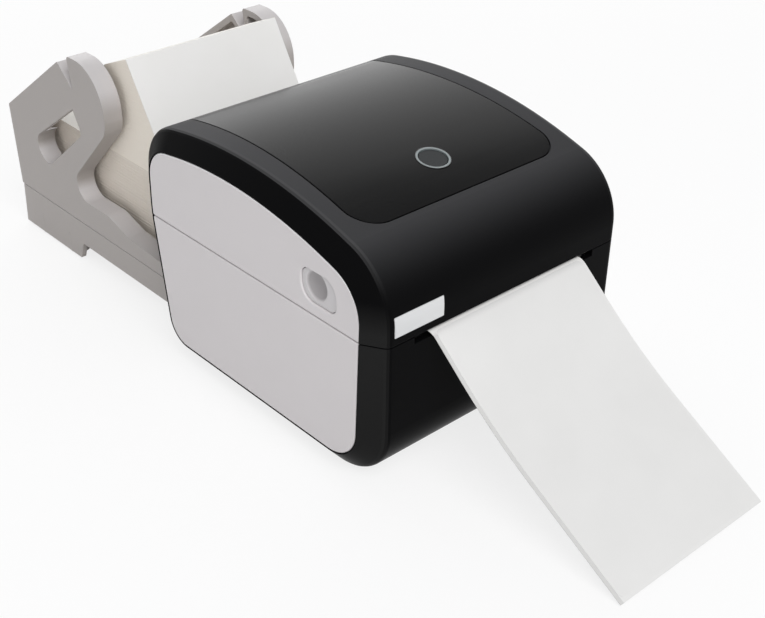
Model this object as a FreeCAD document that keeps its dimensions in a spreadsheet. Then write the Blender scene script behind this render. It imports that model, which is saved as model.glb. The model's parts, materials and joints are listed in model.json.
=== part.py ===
import FreeCAD, Part
import math
import os
import Sketcher

# Desktop thermal label printer, loaded with fan-fold labels from a stand behind it.
# Millimetres. X runs across, the printer's front faces -Y, Z is up from the table,
# and the origin is on the table, midway along the whole set.

Vector = FreeCAD.Vector
Rotation = FreeCAD.Rotation
Placement = FreeCAD.Placement

doc = FreeCAD.newDocument("label_printer")
sheet = doc.addObject("Spreadsheet::Sheet", "Sizes")
aliases = []
nodes = []


class Size:
    """A length that carries its number and the sheet expression behind it."""

    def __init__(self, value, text):
        self.value = value
        self.text = text

    def __add__(self, other):
        return Size(self.value + number(other), f"({self.text} + {words(other)})")

    def __radd__(self, other):
        return Size(number(other) + self.value, f"({words(other)} + {self.text})")

    def __sub__(self, other):
        return Size(self.value - number(other), f"({self.text} - {words(other)})")

    def __rsub__(self, other):
        return Size(number(other) - self.value, f"({words(other)} - {self.text})")

    def __mul__(self, other):
        return Size(self.value * number(other), f"({self.text} * {words(other)})")

    def __rmul__(self, other):
        return Size(number(other) * self.value, f"({words(other)} * {self.text})")

    def __truediv__(self, other):
        return Size(self.value / number(other), f"({self.text} / {words(other)})")

    def __neg__(self):
        return Size(-self.value, f"(-{self.text})")


def number(amount):
    return amount.value if isinstance(amount, Size) else amount


def words(amount):
    return amount.text if isinstance(amount, Size) else repr(amount)


def size(name, value):
    """Writes one driving dimension into the sheet."""
    aliases.append(name)
    cell = f"B{len(aliases)}"
    sheet.set(f"A{len(aliases)}", name)
    sheet.set(cell, str(value))
    sheet.setAlias(cell, name)
    return Size(value, f"Sizes.{name}")


def bind(thing, prop, amount):
    thing.setExpression(prop, words(amount))


def cosine(angle):
    return Size(math.cos(math.radians(number(angle))), f"cos({words(angle)})")


def arctangent(slope):
    return Size(math.degrees(math.atan(number(slope))), f"atan({words(slope)})")


def sine(angle):
    return Size(math.sin(math.radians(number(angle))), f"sin({words(angle)})")


# Driving dimensions: the set from front to back
label_reach = size("label_reach", 121.9)
printer_depth = size("printer_depth", 192.3)
stand_gap = size("stand_gap", 2.5)
stand_depth = size("stand_depth", 175)
whole_depth = label_reach + printer_depth + stand_gap + stand_depth
front = label_reach - whole_depth / 2
back = front + printer_depth
stand_front = back + stand_gap
stand_back = stand_front + stand_depth

# Driving dimensions: the labels' width, and the room beside them that sets the other widths
liner_half = size("liner_half", 52)
label_margin = size("label_margin", 2)
slot_room = size("slot_room", 9.5)
inlet_room = size("inlet_room", 5)
stand_room = size("stand_room", 4)
plate_room = size("plate_room", 10)
plate_thick = size("plate_thick", 1.5)
gear_gap = size("gear_gap", 2.5)
gear_width = size("gear_width", 5)
side_room = size("side_room", 8.2)
label_half = liner_half - label_margin
platen_half = liner_half + label_margin
head_half = liner_half + label_margin
slot_half = liner_half + slot_room
inlet_half = liner_half + inlet_room
plate_half = liner_half + plate_room
gear_start = plate_half + plate_thick + gear_gap
shaft_end = gear_start + gear_width + 1

# Driving dimensions: the printer's case
foot_height = size("foot_height", 2)
wall = size("wall", 3.2)
panel_thick = size("panel_thick", 2)
wall_inside = gear_start + gear_width + side_room
case_half = wall_inside + wall + panel_thick
bevel_run = size("bevel_run", 7.1)
bevel_inset = size("bevel_inset", 11.3)
crease_round = size("crease_round", 4)
front_lean = size("front_lean", 2.3)
back_lean = size("back_lean", 11.3)
back_top_lean = size("back_top_lean", 1.5)
front_crown = size("front_crown", 119.7)
crown = size("crown", 148.9)
crown_set = size("crown_set", 95.7)
back_crown = size("back_crown", 132.5)
back_knee = size("back_knee", 86)
front_low_round = size("front_low_round", 33)
front_top_round = size("front_top_round", 35.5)
crown_round = size("crown_round", 285)
back_top_round = size("back_top_round", 31)
knee_round = size("knee_round", 90)
back_low_round = size("back_low_round", 26)
split_height = size("split_height", 84)
split_gap = size("split_gap", 0.6)
panel_rim = size("panel_rim", 0.4)
slip = size("slip", 0.3)
running_gap = size("running_gap", 0.05)
crease_half = case_half - bevel_run
lid_low = split_height + split_gap / 2
base_high = split_height - split_gap / 2
floor_top = foot_height + 0.75 * wall

# Driving dimensions: top panel and feed button
top_panel_thick = size("top_panel_thick", 1.4)
top_panel_gap = size("top_panel_gap", 0.7)
top_panel_set = size("top_panel_set", 29.6)
top_panel_length = size("top_panel_length", 148)
top_panel_edge = size("top_panel_edge", 11.1)
top_panel_taper = size("top_panel_taper", 4.7)
top_panel_front_half = crease_half - top_panel_edge
top_panel_back_half = top_panel_front_half - top_panel_taper
top_panel_round = size("top_panel_round", 15)
button_set = size("button_set", 54.7)
ring_radius = size("ring_radius", 9.1)
ring_width = size("ring_width", 1.4)
button_gap = size("button_gap", 0.25)
button_travel = size("button_travel", 1)
button_height = size("button_height", 4.3)
button_board_depth = size("button_board_depth", 8)

# Driving dimensions: lid release buttons and latches
release_set = size("release_set", 41.5)
release_share = size("release_share", 0.43)
release_height = split_height + release_share * (front_crown - split_height)
release_half = size("release_half", 12.3)
release_flat = size("release_flat", 8.4)
release_round = size("release_round", 8)
release_corner = size("release_corner", 5)
release_recess = size("release_recess", 1)
release_travel = size("release_travel", 3)
dish_set = size("dish_set", 2.1)
dish_rise = size("dish_rise", 1.2)
dish_half = size("dish_half", 7.8)
dish_depth = size("dish_depth", 3.8)
latch_thick = size("latch_thick", 2)
latch_width = size("latch_width", 12)
latch_drop = size("latch_drop", 8.6)
latch_reach = release_height - split_height + latch_drop
latch_nose = size("latch_nose", 1.6)

# Driving dimensions: hinge
hinge_out = size("hinge_out", 1)
barrel_radius = size("barrel_radius", 3.2)
hinge_pin_radius = size("hinge_pin_radius", 1.5)
knuckle_set = size("knuckle_set", 27.3)
knuckle_width = size("knuckle_width", 6)
knuckle_start = crease_half - knuckle_set

# Driving dimensions: the labels' path
liner_thick = size("liner_thick", 0.3)
label_thick = size("label_thick", 0.2)
label_round = size("label_round", 3)
web_drop = size("web_drop", 1.25)
web_height = split_height - web_drop
slot_depth = size("slot_depth", 3.5)
label_bend_set = size("label_bend_set", 42.2)
label_bend_drop = size("label_bend_drop", 35.45)
label_bend_height = web_height - label_bend_drop
label_bend_round = size("label_bend_round", 300)
label_end_height = size("label_end_height", 0.9)
exit_round = size("exit_round", 8)
inlet_drop = size("inlet_drop", 22)
inlet_tall = size("inlet_tall", 17)
inlet_low = split_height - inlet_drop
inlet_high = inlet_low + inlet_tall
stack_set = size("stack_set", 15)
stack_room = size("stack_room", 8)
stack_depth = stand_depth - stack_set - stack_room
stack_top = size("stack_top", 79)
fold_top = size("fold_top", 143.2)
fold_slope_run = size("fold_slope_run", 38)
fold_back_drop = size("fold_back_drop", 12)
fold_thick = size("fold_thick", 30)
fold_round = size("fold_round", 14)

# Driving dimensions: platen, gears and motor
platen_set = size("platen_set", 15.8)
platen_radius = size("platen_radius", 8)
shaft_radius = size("shaft_radius", 3)
bush_wall = size("bush_wall", 2)
gear_module = size("gear_module", 0.8)
platen_teeth = size("platen_teeth", 24)
idler_teeth = size("idler_teeth", 36)
pinion_teeth = size("pinion_teeth", 12)
idler_turn = size("idler_turn", -54.3)
motor_turn = size("motor_turn", -113)
idler_pin_radius = size("idler_pin_radius", 2)
motor_radius = size("motor_radius", 15)
motor_length = size("motor_length", 26)
motor_shaft_radius = size("motor_shaft_radius", 1.5)

# Driving dimensions: print head
head_gap = size("head_gap", 0.4)
head_depth = size("head_depth", 18)
head_thick = size("head_thick", 2.5)
heatsink_thick = size("heatsink_thick", 6)
bracket_thick = size("bracket_thick", 2)
spring_gap = size("spring_gap", 3)
tear_set = size("tear_set", 4.25)
tear_thick = size("tear_thick", 0.8)
tear_pitch = size("tear_pitch", 4)

# Driving dimensions: bin, deck and boards
bin_front_set = size("bin_front_set", 45.8)
bin_depth = size("bin_depth", 124)
bin_room = size("bin_room", 1.7)
bin_half = wall_inside - 2 * latch_thick - release_travel - bin_room
bin_wall = size("bin_wall", 2)
bin_low = size("bin_low", 26)
bin_front_drop = size("bin_front_drop", 6)
bin_back_drop = size("bin_back_drop", 18)
bin_front_high = split_height - bin_front_drop
bin_back_high = split_height - bin_back_drop
bin_round = size("bin_round", 30)
board_thick = size("board_thick", 1.6)
board_stand = size("board_stand", 3.2)
port_height = size("port_height", 41)
jack_edge = size("jack_edge", 15.5)
usb_away = size("usb_away", 25)
switch_edge = size("switch_edge", 16.5)
jack_set = jack_edge - bin_half
usb_set = jack_set + usb_away
switch_set = bin_half - switch_edge
trunnion_radius = size("trunnion_radius", 0.9)
rocker_turn = size("rocker_turn", 7)
foot_radius = size("foot_radius", 8)
foot_sink = size("foot_sink", 1)
foot_edge = size("foot_edge", 23.3)
foot_across = crease_half - foot_edge
foot_along = size("foot_along", 52)

# Driving dimensions: label stand
plate_width = size("plate_width", 12)
inside_half = liner_half + stand_room
stand_half = inside_half + plate_width
stand_seam = size("stand_seam", 29)
stand_low = size("stand_low", 13)
stand_floor = size("stand_floor", 3)
stand_foot_depth = size("stand_foot_depth", 70)
stand_foot_run = size("stand_foot_run", 4.5)
stand_foot_low = size("stand_foot_low", 1.2)
tray_back_set = size("tray_back_set", 1.4)
rear_lean = size("rear_lean", 2.4)
seam_line = size("seam_line", 0.5)
skin = size("skin", 3)
tongue_width = size("tongue_width", 14)
tongue_set = size("tongue_set", 33)
tongue_thick = size("tongue_thick", 4)

# Driving dimensions: the stand's hooked plates, measured from the table and from the notch
mouth_set = size("mouth_set", 84.2)
shoulder_height = size("shoulder_height", 83)
hook_height = size("hook_height", 138.4)
hook_tip_set = size("hook_tip_set", 0.6)
hook_reach = size("hook_reach", 34.6)
hook_round = size("hook_round", 26)
horn_set = size("horn_set", 12.5)
horn_drop = size("horn_drop", 6.9)
notch_set = size("notch_set", 2.3)
notch_drop = size("notch_drop", 19.9)
waist_drop = size("waist_drop", 36.7)
waist_round = size("waist_round", 16)
horn_height = hook_height - horn_drop
notch_height = hook_height - notch_drop
waist_height = hook_height - waist_drop
throat_set = size("throat_set", 22.8)
throat_height = size("throat_height", 45.5)
throat_round = size("throat_round", 10.5)
arm_set = size("arm_set", 26)
arm_height = size("arm_height", 46.2)
elbow_set = size("elbow_set", 46)
elbow_height = size("elbow_height", 40.3)
elbow_round = size("elbow_round", 12)
arm_end_height = size("arm_end_height", 37.2)
spindle_top_set = size("spindle_top_set", 1.2)
spindle_top_drop = size("spindle_top_drop", 12.9)
spindle_front_set = size("spindle_front_set", 6.5)
spindle_front_drop = size("spindle_front_drop", 9.9)
spindle_low_set = size("spindle_low_set", 41.5)
spindle_low = size("spindle_low", 54.5)
spindle_back_set = size("spindle_back_set", 58)
spindle_back = size("spindle_back", 67.8)
spindle_round = size("spindle_round", 9)
spindle_top = notch_height - spindle_top_drop
spindle_front = waist_height - spindle_front_drop
rib = size("rib", 4)
doc.recompute()


# Ways of making a piece
def keep(thing, label):
    """Names a finished piece, which gets a file of its own."""
    thing.Label = label
    nodes.append(thing)
    return thing


def plane_of(body, role):
    return [item for item in body.Origin.OriginFeatures if item.Role == role][0]


def sketch_on(body, role, offset):
    sketch = body.newObject("Sketcher::SketchObject", "Sketch")
    sketch.AttachmentSupport = [(plane_of(body, role), "")]
    sketch.MapMode = "FlatFace"
    bind(sketch, "AttachmentOffset.Base.z", offset)
    return sketch


def fix(sketch, kind, *place):
    """Adds one constraint; a Size at its end drives it from the sheet."""
    amount = place[-1]
    index = sketch.addConstraint(Sketcher.Constraint(kind, *place[:-1], number(amount)))
    if isinstance(amount, Size):
        sketch.setExpression(f"Constraints[{index}]", amount.text)


def corner_arc(before, corner, after, radius):
    """Tangent points of a rounded corner, the arc's centre, and whether it turns left."""
    come = (corner - before).normalize()
    leave = (after - corner).normalize()
    turn = math.acos(max(-1.0, min(1.0, come.dot(leave))))
    reach = radius * math.tan(turn / 2)
    start = corner - come * reach
    end = corner + leave * reach
    left = come.cross(leave).z > 0
    side = Vector(-come.y, come.x, 0) if left else Vector(come.y, -come.x, 0)
    return start, end, start + side * radius, left


def outline(sketch, corners):
    """Draws a closed outline of straight sides; each corner is (across, up, rounding)."""
    spots = [Vector(number(u), number(v), 0) for u, v, _ in corners]
    count = len(corners)
    ends = []
    for i, (_, _, rounding) in enumerate(corners):
        radius = number(rounding)
        if radius > 0:
            ends.append(corner_arc(spots[i - 1], spots[i], spots[(i + 1) % count], radius))
        else:
            ends.append((spots[i], spots[i], None, None))
    for i in range(count):
        sketch.addGeometry(Part.LineSegment(ends[i][1], ends[(i + 1) % count][0]))
    for i, (across, up, rounding) in enumerate(corners):
        line_in = (i - 1) % count
        start, end, centre, left = ends[i]
        if centre is None:
            sketch.addConstraint(Sketcher.Constraint("Coincident", line_in, 2, i, 1))
            fix(sketch, "DistanceX", -1, 1, i, 1, across)
            fix(sketch, "DistanceY", -1, 1, i, 1, up)
            continue
        first, last = (start, end) if left else (end, start)
        from_angle = math.atan2(first.y - centre.y, first.x - centre.x)
        to_angle = math.atan2(last.y - centre.y, last.x - centre.x)
        circle = Part.Circle(centre, Vector(0, 0, 1), number(rounding))
        arc = sketch.addGeometry(Part.ArcOfCircle(circle, from_angle, to_angle))
        spot = sketch.addGeometry(Part.Point(spots[i]), True)
        in_end, out_end = (1, 2) if left else (2, 1)
        sketch.addConstraint(Sketcher.Constraint("Tangent", line_in, 2, arc, in_end))
        sketch.addConstraint(Sketcher.Constraint("Tangent", i, 1, arc, out_end))
        sketch.addConstraint(Sketcher.Constraint("PointOnObject", spot, 1, line_in))
        sketch.addConstraint(Sketcher.Constraint("PointOnObject", spot, 1, i))
        fix(sketch, "Radius", arc, rounding)
        fix(sketch, "DistanceX", -1, 1, spot, 1, across)
        fix(sketch, "DistanceY", -1, 1, spot, 1, up)


def circle_on(sketch, across, up, radius):
    spot = Vector(number(across), number(up), 0)
    ring = sketch.addGeometry(Part.Circle(spot, Vector(0, 0, 1), number(radius)))
    fix(sketch, "Radius", ring, radius)
    fix(sketch, "DistanceX", -1, 1, ring, 3, across)
    fix(sketch, "DistanceY", -1, 1, ring, 3, up)


def new_body(label):
    body = doc.addObject("PartDesign::Body", label)
    body.Label = label
    return body


def pad(body, sketch, length):
    feature = body.newObject("PartDesign::Pad", "Pad")
    feature.Profile = sketch
    bind(feature, "Length", length)
    return feature


def pocket(body, sketch, depth, forward):
    """Cuts along the sketch's normal when forward, or against it."""
    feature = body.newObject("PartDesign::Pocket", "Pocket")
    feature.Profile = sketch
    feature.Reversed = forward
    bind(feature, "Length", depth)
    return feature


def prism(label, role, start, corners, length):
    """A body padded from one outline, from start along the plane's normal."""
    body = new_body(label)
    sketch = sketch_on(body, role, start)
    outline(sketch, corners)
    pad(body, sketch, length)
    return body


def place(thing, across, along, up):
    bind(thing, "Placement.Base.x", across)
    bind(thing, "Placement.Base.y", along)
    bind(thing, "Placement.Base.z", up)
    return thing


def block(label, across, along, up):
    """A box between pairs of limits."""
    box = doc.addObject("Part::Box", label)
    bind(box, "Length", across[1] - across[0])
    bind(box, "Width", along[1] - along[0])
    bind(box, "Height", up[1] - up[0])
    return place(box, across[0], along[0], up[0])


TURNS = {
    "X": Rotation(Vector(0, 1, 0), 90),
    "Y": Rotation(Vector(1, 0, 0), -90),
    "Z": Rotation(),
}


def rod(label, way, at, radius, length):
    """A round bar from a point along +X, +Y or +Z."""
    bar = doc.addObject("Part::Cylinder", label)
    bar.Placement = Placement(Vector(), TURNS[way])
    bind(bar, "Radius", radius)
    bind(bar, "Height", length)
    return place(bar, *at)


def ball(label, at, radius):
    sphere = doc.addObject("Part::Sphere", label)
    bind(sphere, "Radius", radius)
    return place(sphere, *at)


def fuse(label, things):
    joined = doc.addObject("Part::MultiFuse", label)
    joined.Shapes = things
    return joined


def cut(label, base, tools):
    result = doc.addObject("Part::Cut", label)
    result.Base = base
    result.Tool = tools[0] if len(tools) == 1 else fuse(label + "_tools", tools)
    return result


def common(label, first, second):
    result = doc.addObject("Part::Common", label)
    result.Base = first
    result.Tool = second
    return result


def group(label, things):
    """Loose identical pieces kept together."""
    bundle = doc.addObject("Part::Compound", label)
    bundle.Links = things
    return bundle


# Case outlines
def case_corners(inset):
    """The case's side view, moved inward by an inset.

    Each corner is its place, its rounding, and how far it moves in Y and Z for each
    millimetre of inset, so that all sides stay parallel to the outer ones.
    """
    low = foot_height
    corners = [
        (front + front_lean, low, front_low_round, 1.28, 0.75),
        (back - back_lean, low, back_low_round, -0.83, 0.75),
        (back, back_knee, knee_round, -0.956, 0),
        (back - back_top_lean, back_crown, back_top_round, -0.956, -0.805),
        (front + crown_set, crown, crown_round, 0, -1.044),
        (front, front_crown, front_top_round, 1, -0.743),
    ]
    return [
        (along + inset * in_y, up + inset * in_z, rounding - inset)
        for along, up, rounding, in_y, in_z in corners
    ]


def bevelled_form(label, sections):
    """A loft across the case through outlines at (distance from the middle, inset)."""
    body = new_body(label)
    outlines = []
    mirrored = [(-across, inset) for across, inset in reversed(sections)]
    for across, inset in mirrored + sections:
        sketch = sketch_on(body, "YZ_Plane", across)
        outline(sketch, case_corners(inset))
        outlines.append(sketch)
    loft = body.newObject("PartDesign::AdditiveLoft", "Loft")
    loft.Profile = outlines[0]
    loft.Sections = outlines[1:]
    loft.Ruled = True
    return body


def case_sections():
    """The soft crease between the top and the side bevel as a rounded run of outlines."""
    crease_turn = arctangent(bevel_inset / bevel_run)
    arc_start = crease_half - crease_round * sine(crease_turn / 2) / cosine(crease_turn / 2)
    sections = []
    for step in range(CREASE_STEPS + 1):
        turn = crease_turn * (step / CREASE_STEPS)
        sections.append((arc_start + crease_round * sine(turn), crease_round * (1 - cosine(turn))))
    return sections + [(case_half, bevel_inset)]


CREASE_STEPS = 3
case_form = bevelled_form("case_form", case_sections())
case_hollow = bevelled_form(
    "case_hollow",
    [(crease_half - wall / 2, wall), (wall_inside, bevel_inset + 0.6 * wall)],
)
far = 2 * case_half
upper_zone = block("upper_zone", (-far, far), (front - far, back + far), (lid_low, lid_low + far))
lower_zone = block("lower_zone", (-far, far), (front - far, back + far), (base_high - far, base_high))


# Side panels and their recesses
def side_slab(label, side, inset, thick):
    """A flat slab in the shape of the case's side, from the outside inward."""
    start = case_half - thick if side > 0 else -case_half
    return prism(label, "YZ_Plane", start, case_corners(bevel_inset + inset), thick)


panel_recesses = []
panels = {}
for name, side in (("left", -1), ("right", 1)):
    panel_recesses.append(side_slab(f"{name}_recess", side, panel_rim, panel_thick))
    panels[name] = side_slab(f"{name}_panel", side, panel_rim + slip, panel_thick)


# Lid release buttons: leaf-shaped, with two soft and two tight corners
def release_form(label, side, grow, outer, length):
    """The button's section, grown all round, from its outer face inward."""
    along = front + release_set
    start = outer - length if side > 0 else -outer
    front_edge = along - release_half - grow
    back_edge = along + release_half + grow
    low = release_height - release_flat - grow
    high = release_height + release_flat + grow
    corners = [
        (front_edge, low, release_corner + grow),
        (back_edge, low, release_round + grow),
        (back_edge, high, release_corner + grow),
        (front_edge, high, release_round + grow),
    ]
    return prism(label, "YZ_Plane", start, corners, length)


release_inner = wall_inside - slip
release_holes = []
releases = {}
for name, side in (("left", -1), ("right", 1)):
    along = front + release_set
    through = panel_thick + wall + 2 * slip
    release_holes.append(release_form(f"{name}_release_hole", side, slip, case_half + slip, through))
    outer = case_half - release_recess
    cap = release_form(f"{name}_release_cap", side, Size(0, "0"), outer, outer - release_inner + latch_thick)
    flange = release_form(f"{name}_release_flange", side, 2 * slip + 1, release_inner, latch_thick)
    arm_outer = release_inner - latch_thick
    arm_limits = (arm_outer - latch_thick, arm_outer) if side > 0 else (-arm_outer, -arm_outer + latch_thick)
    arm = block(
        f"{name}_latch_arm",
        arm_limits,
        (along - latch_width / 2, along + latch_width / 2),
        (release_height - latch_reach, release_height + release_flat),
    )
    nose_outer = arm_outer + latch_nose
    nose_limits = (arm_outer, nose_outer) if side > 0 else (-nose_outer, -arm_outer)
    nose = block(
        f"{name}_latch_nose",
        nose_limits,
        (along - latch_width / 2, along + latch_width / 2),
        (release_height - latch_reach, release_height - latch_reach + latch_thick),
    )
    dish_radius = (dish_half * dish_half + dish_depth * dish_depth) / (2 * dish_depth)
    dish_centre = outer + dish_radius - dish_depth
    dish_place = (side * dish_centre, along + dish_set, release_height + dish_rise)
    dish = ball(f"{name}_release_dish", dish_place, dish_radius)
    solid = fuse(f"{name}_release_solid", [cap, flange, arm, nose])
    releases[name] = keep(cut(f"{name}_release_cut", solid, [dish]), f"{name}_release_button")

for name in ("left", "right"):
    hole = release_holes[0] if name == "left" else release_holes[1]
    upper = common(f"{name}_upper_blank", panels[name], upper_zone)
    keep(cut(f"{name}_upper", upper, [hole]), f"{name}_upper_panel")
    keep(common(f"{name}_lower", panels[name], lower_zone), f"{name}_lower_panel")


# Top panel, set flush into the lid
def top_panel_column(label, grow):
    """An upright column in the panel's plan, grown all round."""
    front_edge = front + top_panel_set - grow
    back_edge = front + top_panel_set + top_panel_length + grow
    front_x = top_panel_front_half + grow
    back_x = top_panel_back_half + grow
    corners = [
        (-front_x, front_edge, top_panel_round + grow),
        (front_x, front_edge, top_panel_round + grow),
        (back_x, back_edge, 2 + grow),
        (-back_x, back_edge, 2 + grow),
    ]
    return prism(label, "XY_Plane", split_height + 2 * wall, corners, crown)


def top_at(along):
    """Height and lean of the case's top at a place along it, on the crown's large arc."""
    spots = [Vector(number(y), number(z), 0) for y, z, _ in case_corners(Size(0, "0"))]
    _, _, centre, _ = corner_arc(spots[3], spots[4], spots[5], number(crown_round))
    offset = number(along) - centre.x
    rise = math.sqrt(number(crown_round) ** 2 - offset ** 2)
    return centre.y + rise, math.degrees(math.asin(-offset / number(crown_round)))


button_along = front + button_set
button_up, button_lean = top_at(button_along)
button_frame = Placement(
    Vector(0, number(button_along), button_up), Rotation(Vector(1, 0, 0), button_lean)
)


def on_button_axis(thing, across=0, along=0, up=0):
    """Stands a piece on the button's leaning axis, measured from the lid's surface."""
    local = Placement(Vector(number(across), number(along), number(up)), Rotation())
    thing.Placement = button_frame.multiply(local)
    return thing


def button_rod(label, radius, low, high, across=0):
    bar = doc.addObject("Part::Cylinder", label)
    bind(bar, "Radius", radius)
    bind(bar, "Height", high - low)
    return on_button_axis(bar, across=across, up=low)


panel_seat = prism(
    "panel_seat", "YZ_Plane", -crease_half, case_corners(top_panel_thick), 2 * crease_half
)
panel_column = top_panel_column("panel_column", Size(0, "0"))
recess_column = top_panel_column("recess_column", top_panel_gap)
top_recess = cut("top_recess", recess_column, [panel_seat])
button_hole = button_rod("button_hole", ring_radius + running_gap, -4 * wall, wall)
top_skin = cut("top_skin", common("top_block", case_form, panel_column), [panel_seat])
keep(cut("top_panel_holed", top_skin, [button_hole]), "top_panel")

ring_inner = ring_radius - ring_width
ring_low = -wall - 2 * panel_thick
ring_outside = button_rod("ring_outside", ring_radius, ring_low, slip / 2)
ring_flange = button_rod("ring_flange", ring_radius + panel_thick, ring_low, ring_low + panel_thick)
ring_bore = button_rod("ring_bore", ring_inner, ring_low - 1, wall)
keep(cut("ring", fuse("ring_blank", [ring_outside, ring_flange]), [ring_bore]), "light_ring")
cap_low = -button_height - slip
keep(button_rod("feed_cap", ring_inner - button_gap, cap_low, -slip), "feed_button")

board_high = ring_low - slip - 2
post_across = ring_radius + 3 * panel_thick
button_board = doc.addObject("Part::Box", "button_board_box")
bind(button_board, "Length", 2 * post_across + 3 * panel_thick)
bind(button_board, "Width", 2 * ring_radius)
bind(button_board, "Height", board_thick)
on_button_axis(
    button_board,
    across=-post_across - 1.5 * panel_thick,
    along=-ring_radius,
    up=board_high - board_thick,
)
switch_body = button_rod("switch_body", ring_inner / 2, board_high, cap_low - button_travel - slip)
keep(fuse("button_board_set", [button_board, switch_body]), "button_board")
button_posts = [
    button_rod(f"button_post_{side}", panel_thick, board_high, -wall / 2, across=side * post_across)
    for side in (-1, 1)
]

# Hinge: barrels on the back edge of the base and the lid, turning on two pins
hinge_along = back + hinge_out
hinge_up = split_height
base_barrels = []
base_barrel_rooms = []
lid_barrels = []
lid_barrel_rooms = []
barrel_bores = []
hinge_pins = []
for name, side in (("left", -1), ("right", 1)):
    for place_index in range(3):
        low = knuckle_start + place_index * knuckle_width
        start = low if side > 0 else -low - knuckle_width
        label = f"{name}_knuckle_{place_index}"
        on_lid = place_index == 1
        shrink = slip if on_lid else Size(0, "0")
        barrel = rod(
            label, "X", (start + shrink, hinge_along, hinge_up), barrel_radius, knuckle_width - 2 * shrink
        )
        room = rod(
            label + "_room", "X", (start, hinge_along, hinge_up), barrel_radius + slip, knuckle_width
        )
        (lid_barrels if on_lid else base_barrels).append(barrel)
        (base_barrel_rooms if on_lid else lid_barrel_rooms).append(room)
    pin_start = knuckle_start if side > 0 else -knuckle_start - 3 * knuckle_width
    pin_place = (pin_start, hinge_along, hinge_up)
    barrel_bores.append(
        rod(f"{name}_hinge_bore", "X", pin_place, hinge_pin_radius + running_gap, 3 * knuckle_width)
    )
    hinge_pins.append(rod(f"{name}_hinge_pin", "X", pin_place, hinge_pin_radius, 3 * knuckle_width))
keep(group("hinge_pin_pair", hinge_pins), "hinge_pins")

# Lid liner: an inner cover under the lid's crown, on four posts
liner_inset = 4 * wall
liner_half_x = crease_half - 3 * wall
liner_front = front + button_set - 2 * wall
liner_outside = prism(
    "liner_outside", "YZ_Plane", -liner_half_x, case_corners(liner_inset), 2 * liner_half_x
)
liner_inside = prism(
    "liner_inside", "YZ_Plane", -liner_half_x - 1, case_corners(liner_inset + bin_wall), 2 * liner_half_x + 2
)
liner_zone = block(
    "liner_zone",
    (-liner_half_x - 1, liner_half_x + 1),
    (liner_front, back),
    (lid_low + wall, crown),
)
liner_arch = common("liner_arch", cut("liner_shell", liner_outside, [liner_inside]), liner_zone)
board_room = button_rod("board_room", post_across + 4 * panel_thick, -8 * wall, -2 * wall)
keep(cut("liner_cut", liner_arch, [board_room]), "lid_liner")
liner_post_columns = []
for side in (-1, 1):
    for along in (front + button_set + 8 * wall, back - 16 * wall):
        across = side * 14 * wall
        liner_post_columns.append(
            block(
                f"liner_post_{len(liner_post_columns)}",
                (across - wall, across + wall),
                (along - wall, along + wall),
                (split_height, crown),
            )
        )
liner_posts = [
    cut(column.Label + "_cut", common(column.Label + "_top", column, panel_seat), [liner_outside])
    for column in liner_post_columns
]

# Print head: strip, heat sink, sprung under a steel bracket
head_along = front + platen_set
head_low = web_height + liner_thick / 2 + label_thick + head_gap
head_strip_high = head_low + head_thick
sink_high = head_strip_high + heatsink_thick
bracket_high = sink_high + spring_gap + bracket_thick
head_front = head_along - head_depth / 3
head_back = head_front + head_depth
keep(
    block("head_strip", (-head_half, head_half), (head_front, head_back), (head_low, head_strip_high)),
    "print_head",
)


def finned_sink():
    """An aluminium bar with cooling grooves along its back half."""
    body = new_body("head_sink_body")
    sketch = sketch_on(body, "YZ_Plane", -head_half)
    outline(
        sketch,
        [
            (head_front + 1, head_strip_high, 0),
            (head_back - 1, head_strip_high, 0),
            (head_back - 1, sink_high, 0),
            (head_front + 1, sink_high, 0),
        ],
    )
    pad(body, sketch, 2 * head_half)
    groove = sketch_on(body, "YZ_Plane", -head_half)
    groove_width = heatsink_thick / 4
    outline(
        groove,
        [
            (head_along, sink_high - heatsink_thick / 2, 0),
            (head_along + groove_width, sink_high - heatsink_thick / 2, 0),
            (head_along + groove_width, sink_high + 1, 0),
            (head_along, sink_high + 1, 0),
        ],
    )
    first = pocket(body, groove, 2 * head_half, True)
    rows = body.newObject("PartDesign::LinearPattern", "Grooves")
    rows.Originals = [first]
    rows.Direction = (groove, ["H_Axis"])
    bind(rows, "Length", head_depth / 3 + 2)
    rows.Occurrences = 4
    body.Tip = rows
    return body


keep(finned_sink(), "head_heatsink")
bracket_front = head_front - bracket_thick
bracket_back = head_back + bracket_thick
bracket = prism(
    "head_bracket_body",
    "YZ_Plane",
    -head_half - bracket_thick,
    [
        (bracket_front, head_strip_high, 0),
        (bracket_front + bracket_thick - slip, head_strip_high, 0),
        (bracket_front + bracket_thick - slip, bracket_high - bracket_thick, 0),
        (bracket_back - bracket_thick + slip, bracket_high - bracket_thick, 0),
        (bracket_back - bracket_thick + slip, head_strip_high, 0),
        (bracket_back, head_strip_high, 0),
        (bracket_back, bracket_high, bracket_thick),
        (bracket_front, bracket_high, bracket_thick),
    ],
    2 * head_half + 2 * bracket_thick,
)
keep(bracket, "head_bracket")
bracket_posts = [
    common(
        f"bracket_post_{side}",
        block(
            f"bracket_post_column_{side}",
            (side * head_half / 2 - 2 * wall, side * head_half / 2 + 2 * wall),
            (head_along, head_back),
            (bracket_high, crown),
        ),
        panel_seat,
    )
    for side in (-1, 1)
]


def leaf_spring(label, centre):
    """A flat steel spring bowed between the heat sink and the bracket."""
    thick = bracket_thick / 4
    reach = head_half / 3
    low = sink_high
    high = bracket_high - bracket_thick
    return prism(
        label,
        "XZ_Plane",
        -head_along - head_depth / 4,
        [
            (centre - reach, low, 0),
            (centre - reach + thick, low, 0),
            (centre, high - thick, 4 * reach),
            (centre + reach - thick, low, 0),
            (centre + reach, low, 0),
            (centre, high, 4 * reach),
        ],
        head_depth / 4,
    )


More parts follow.
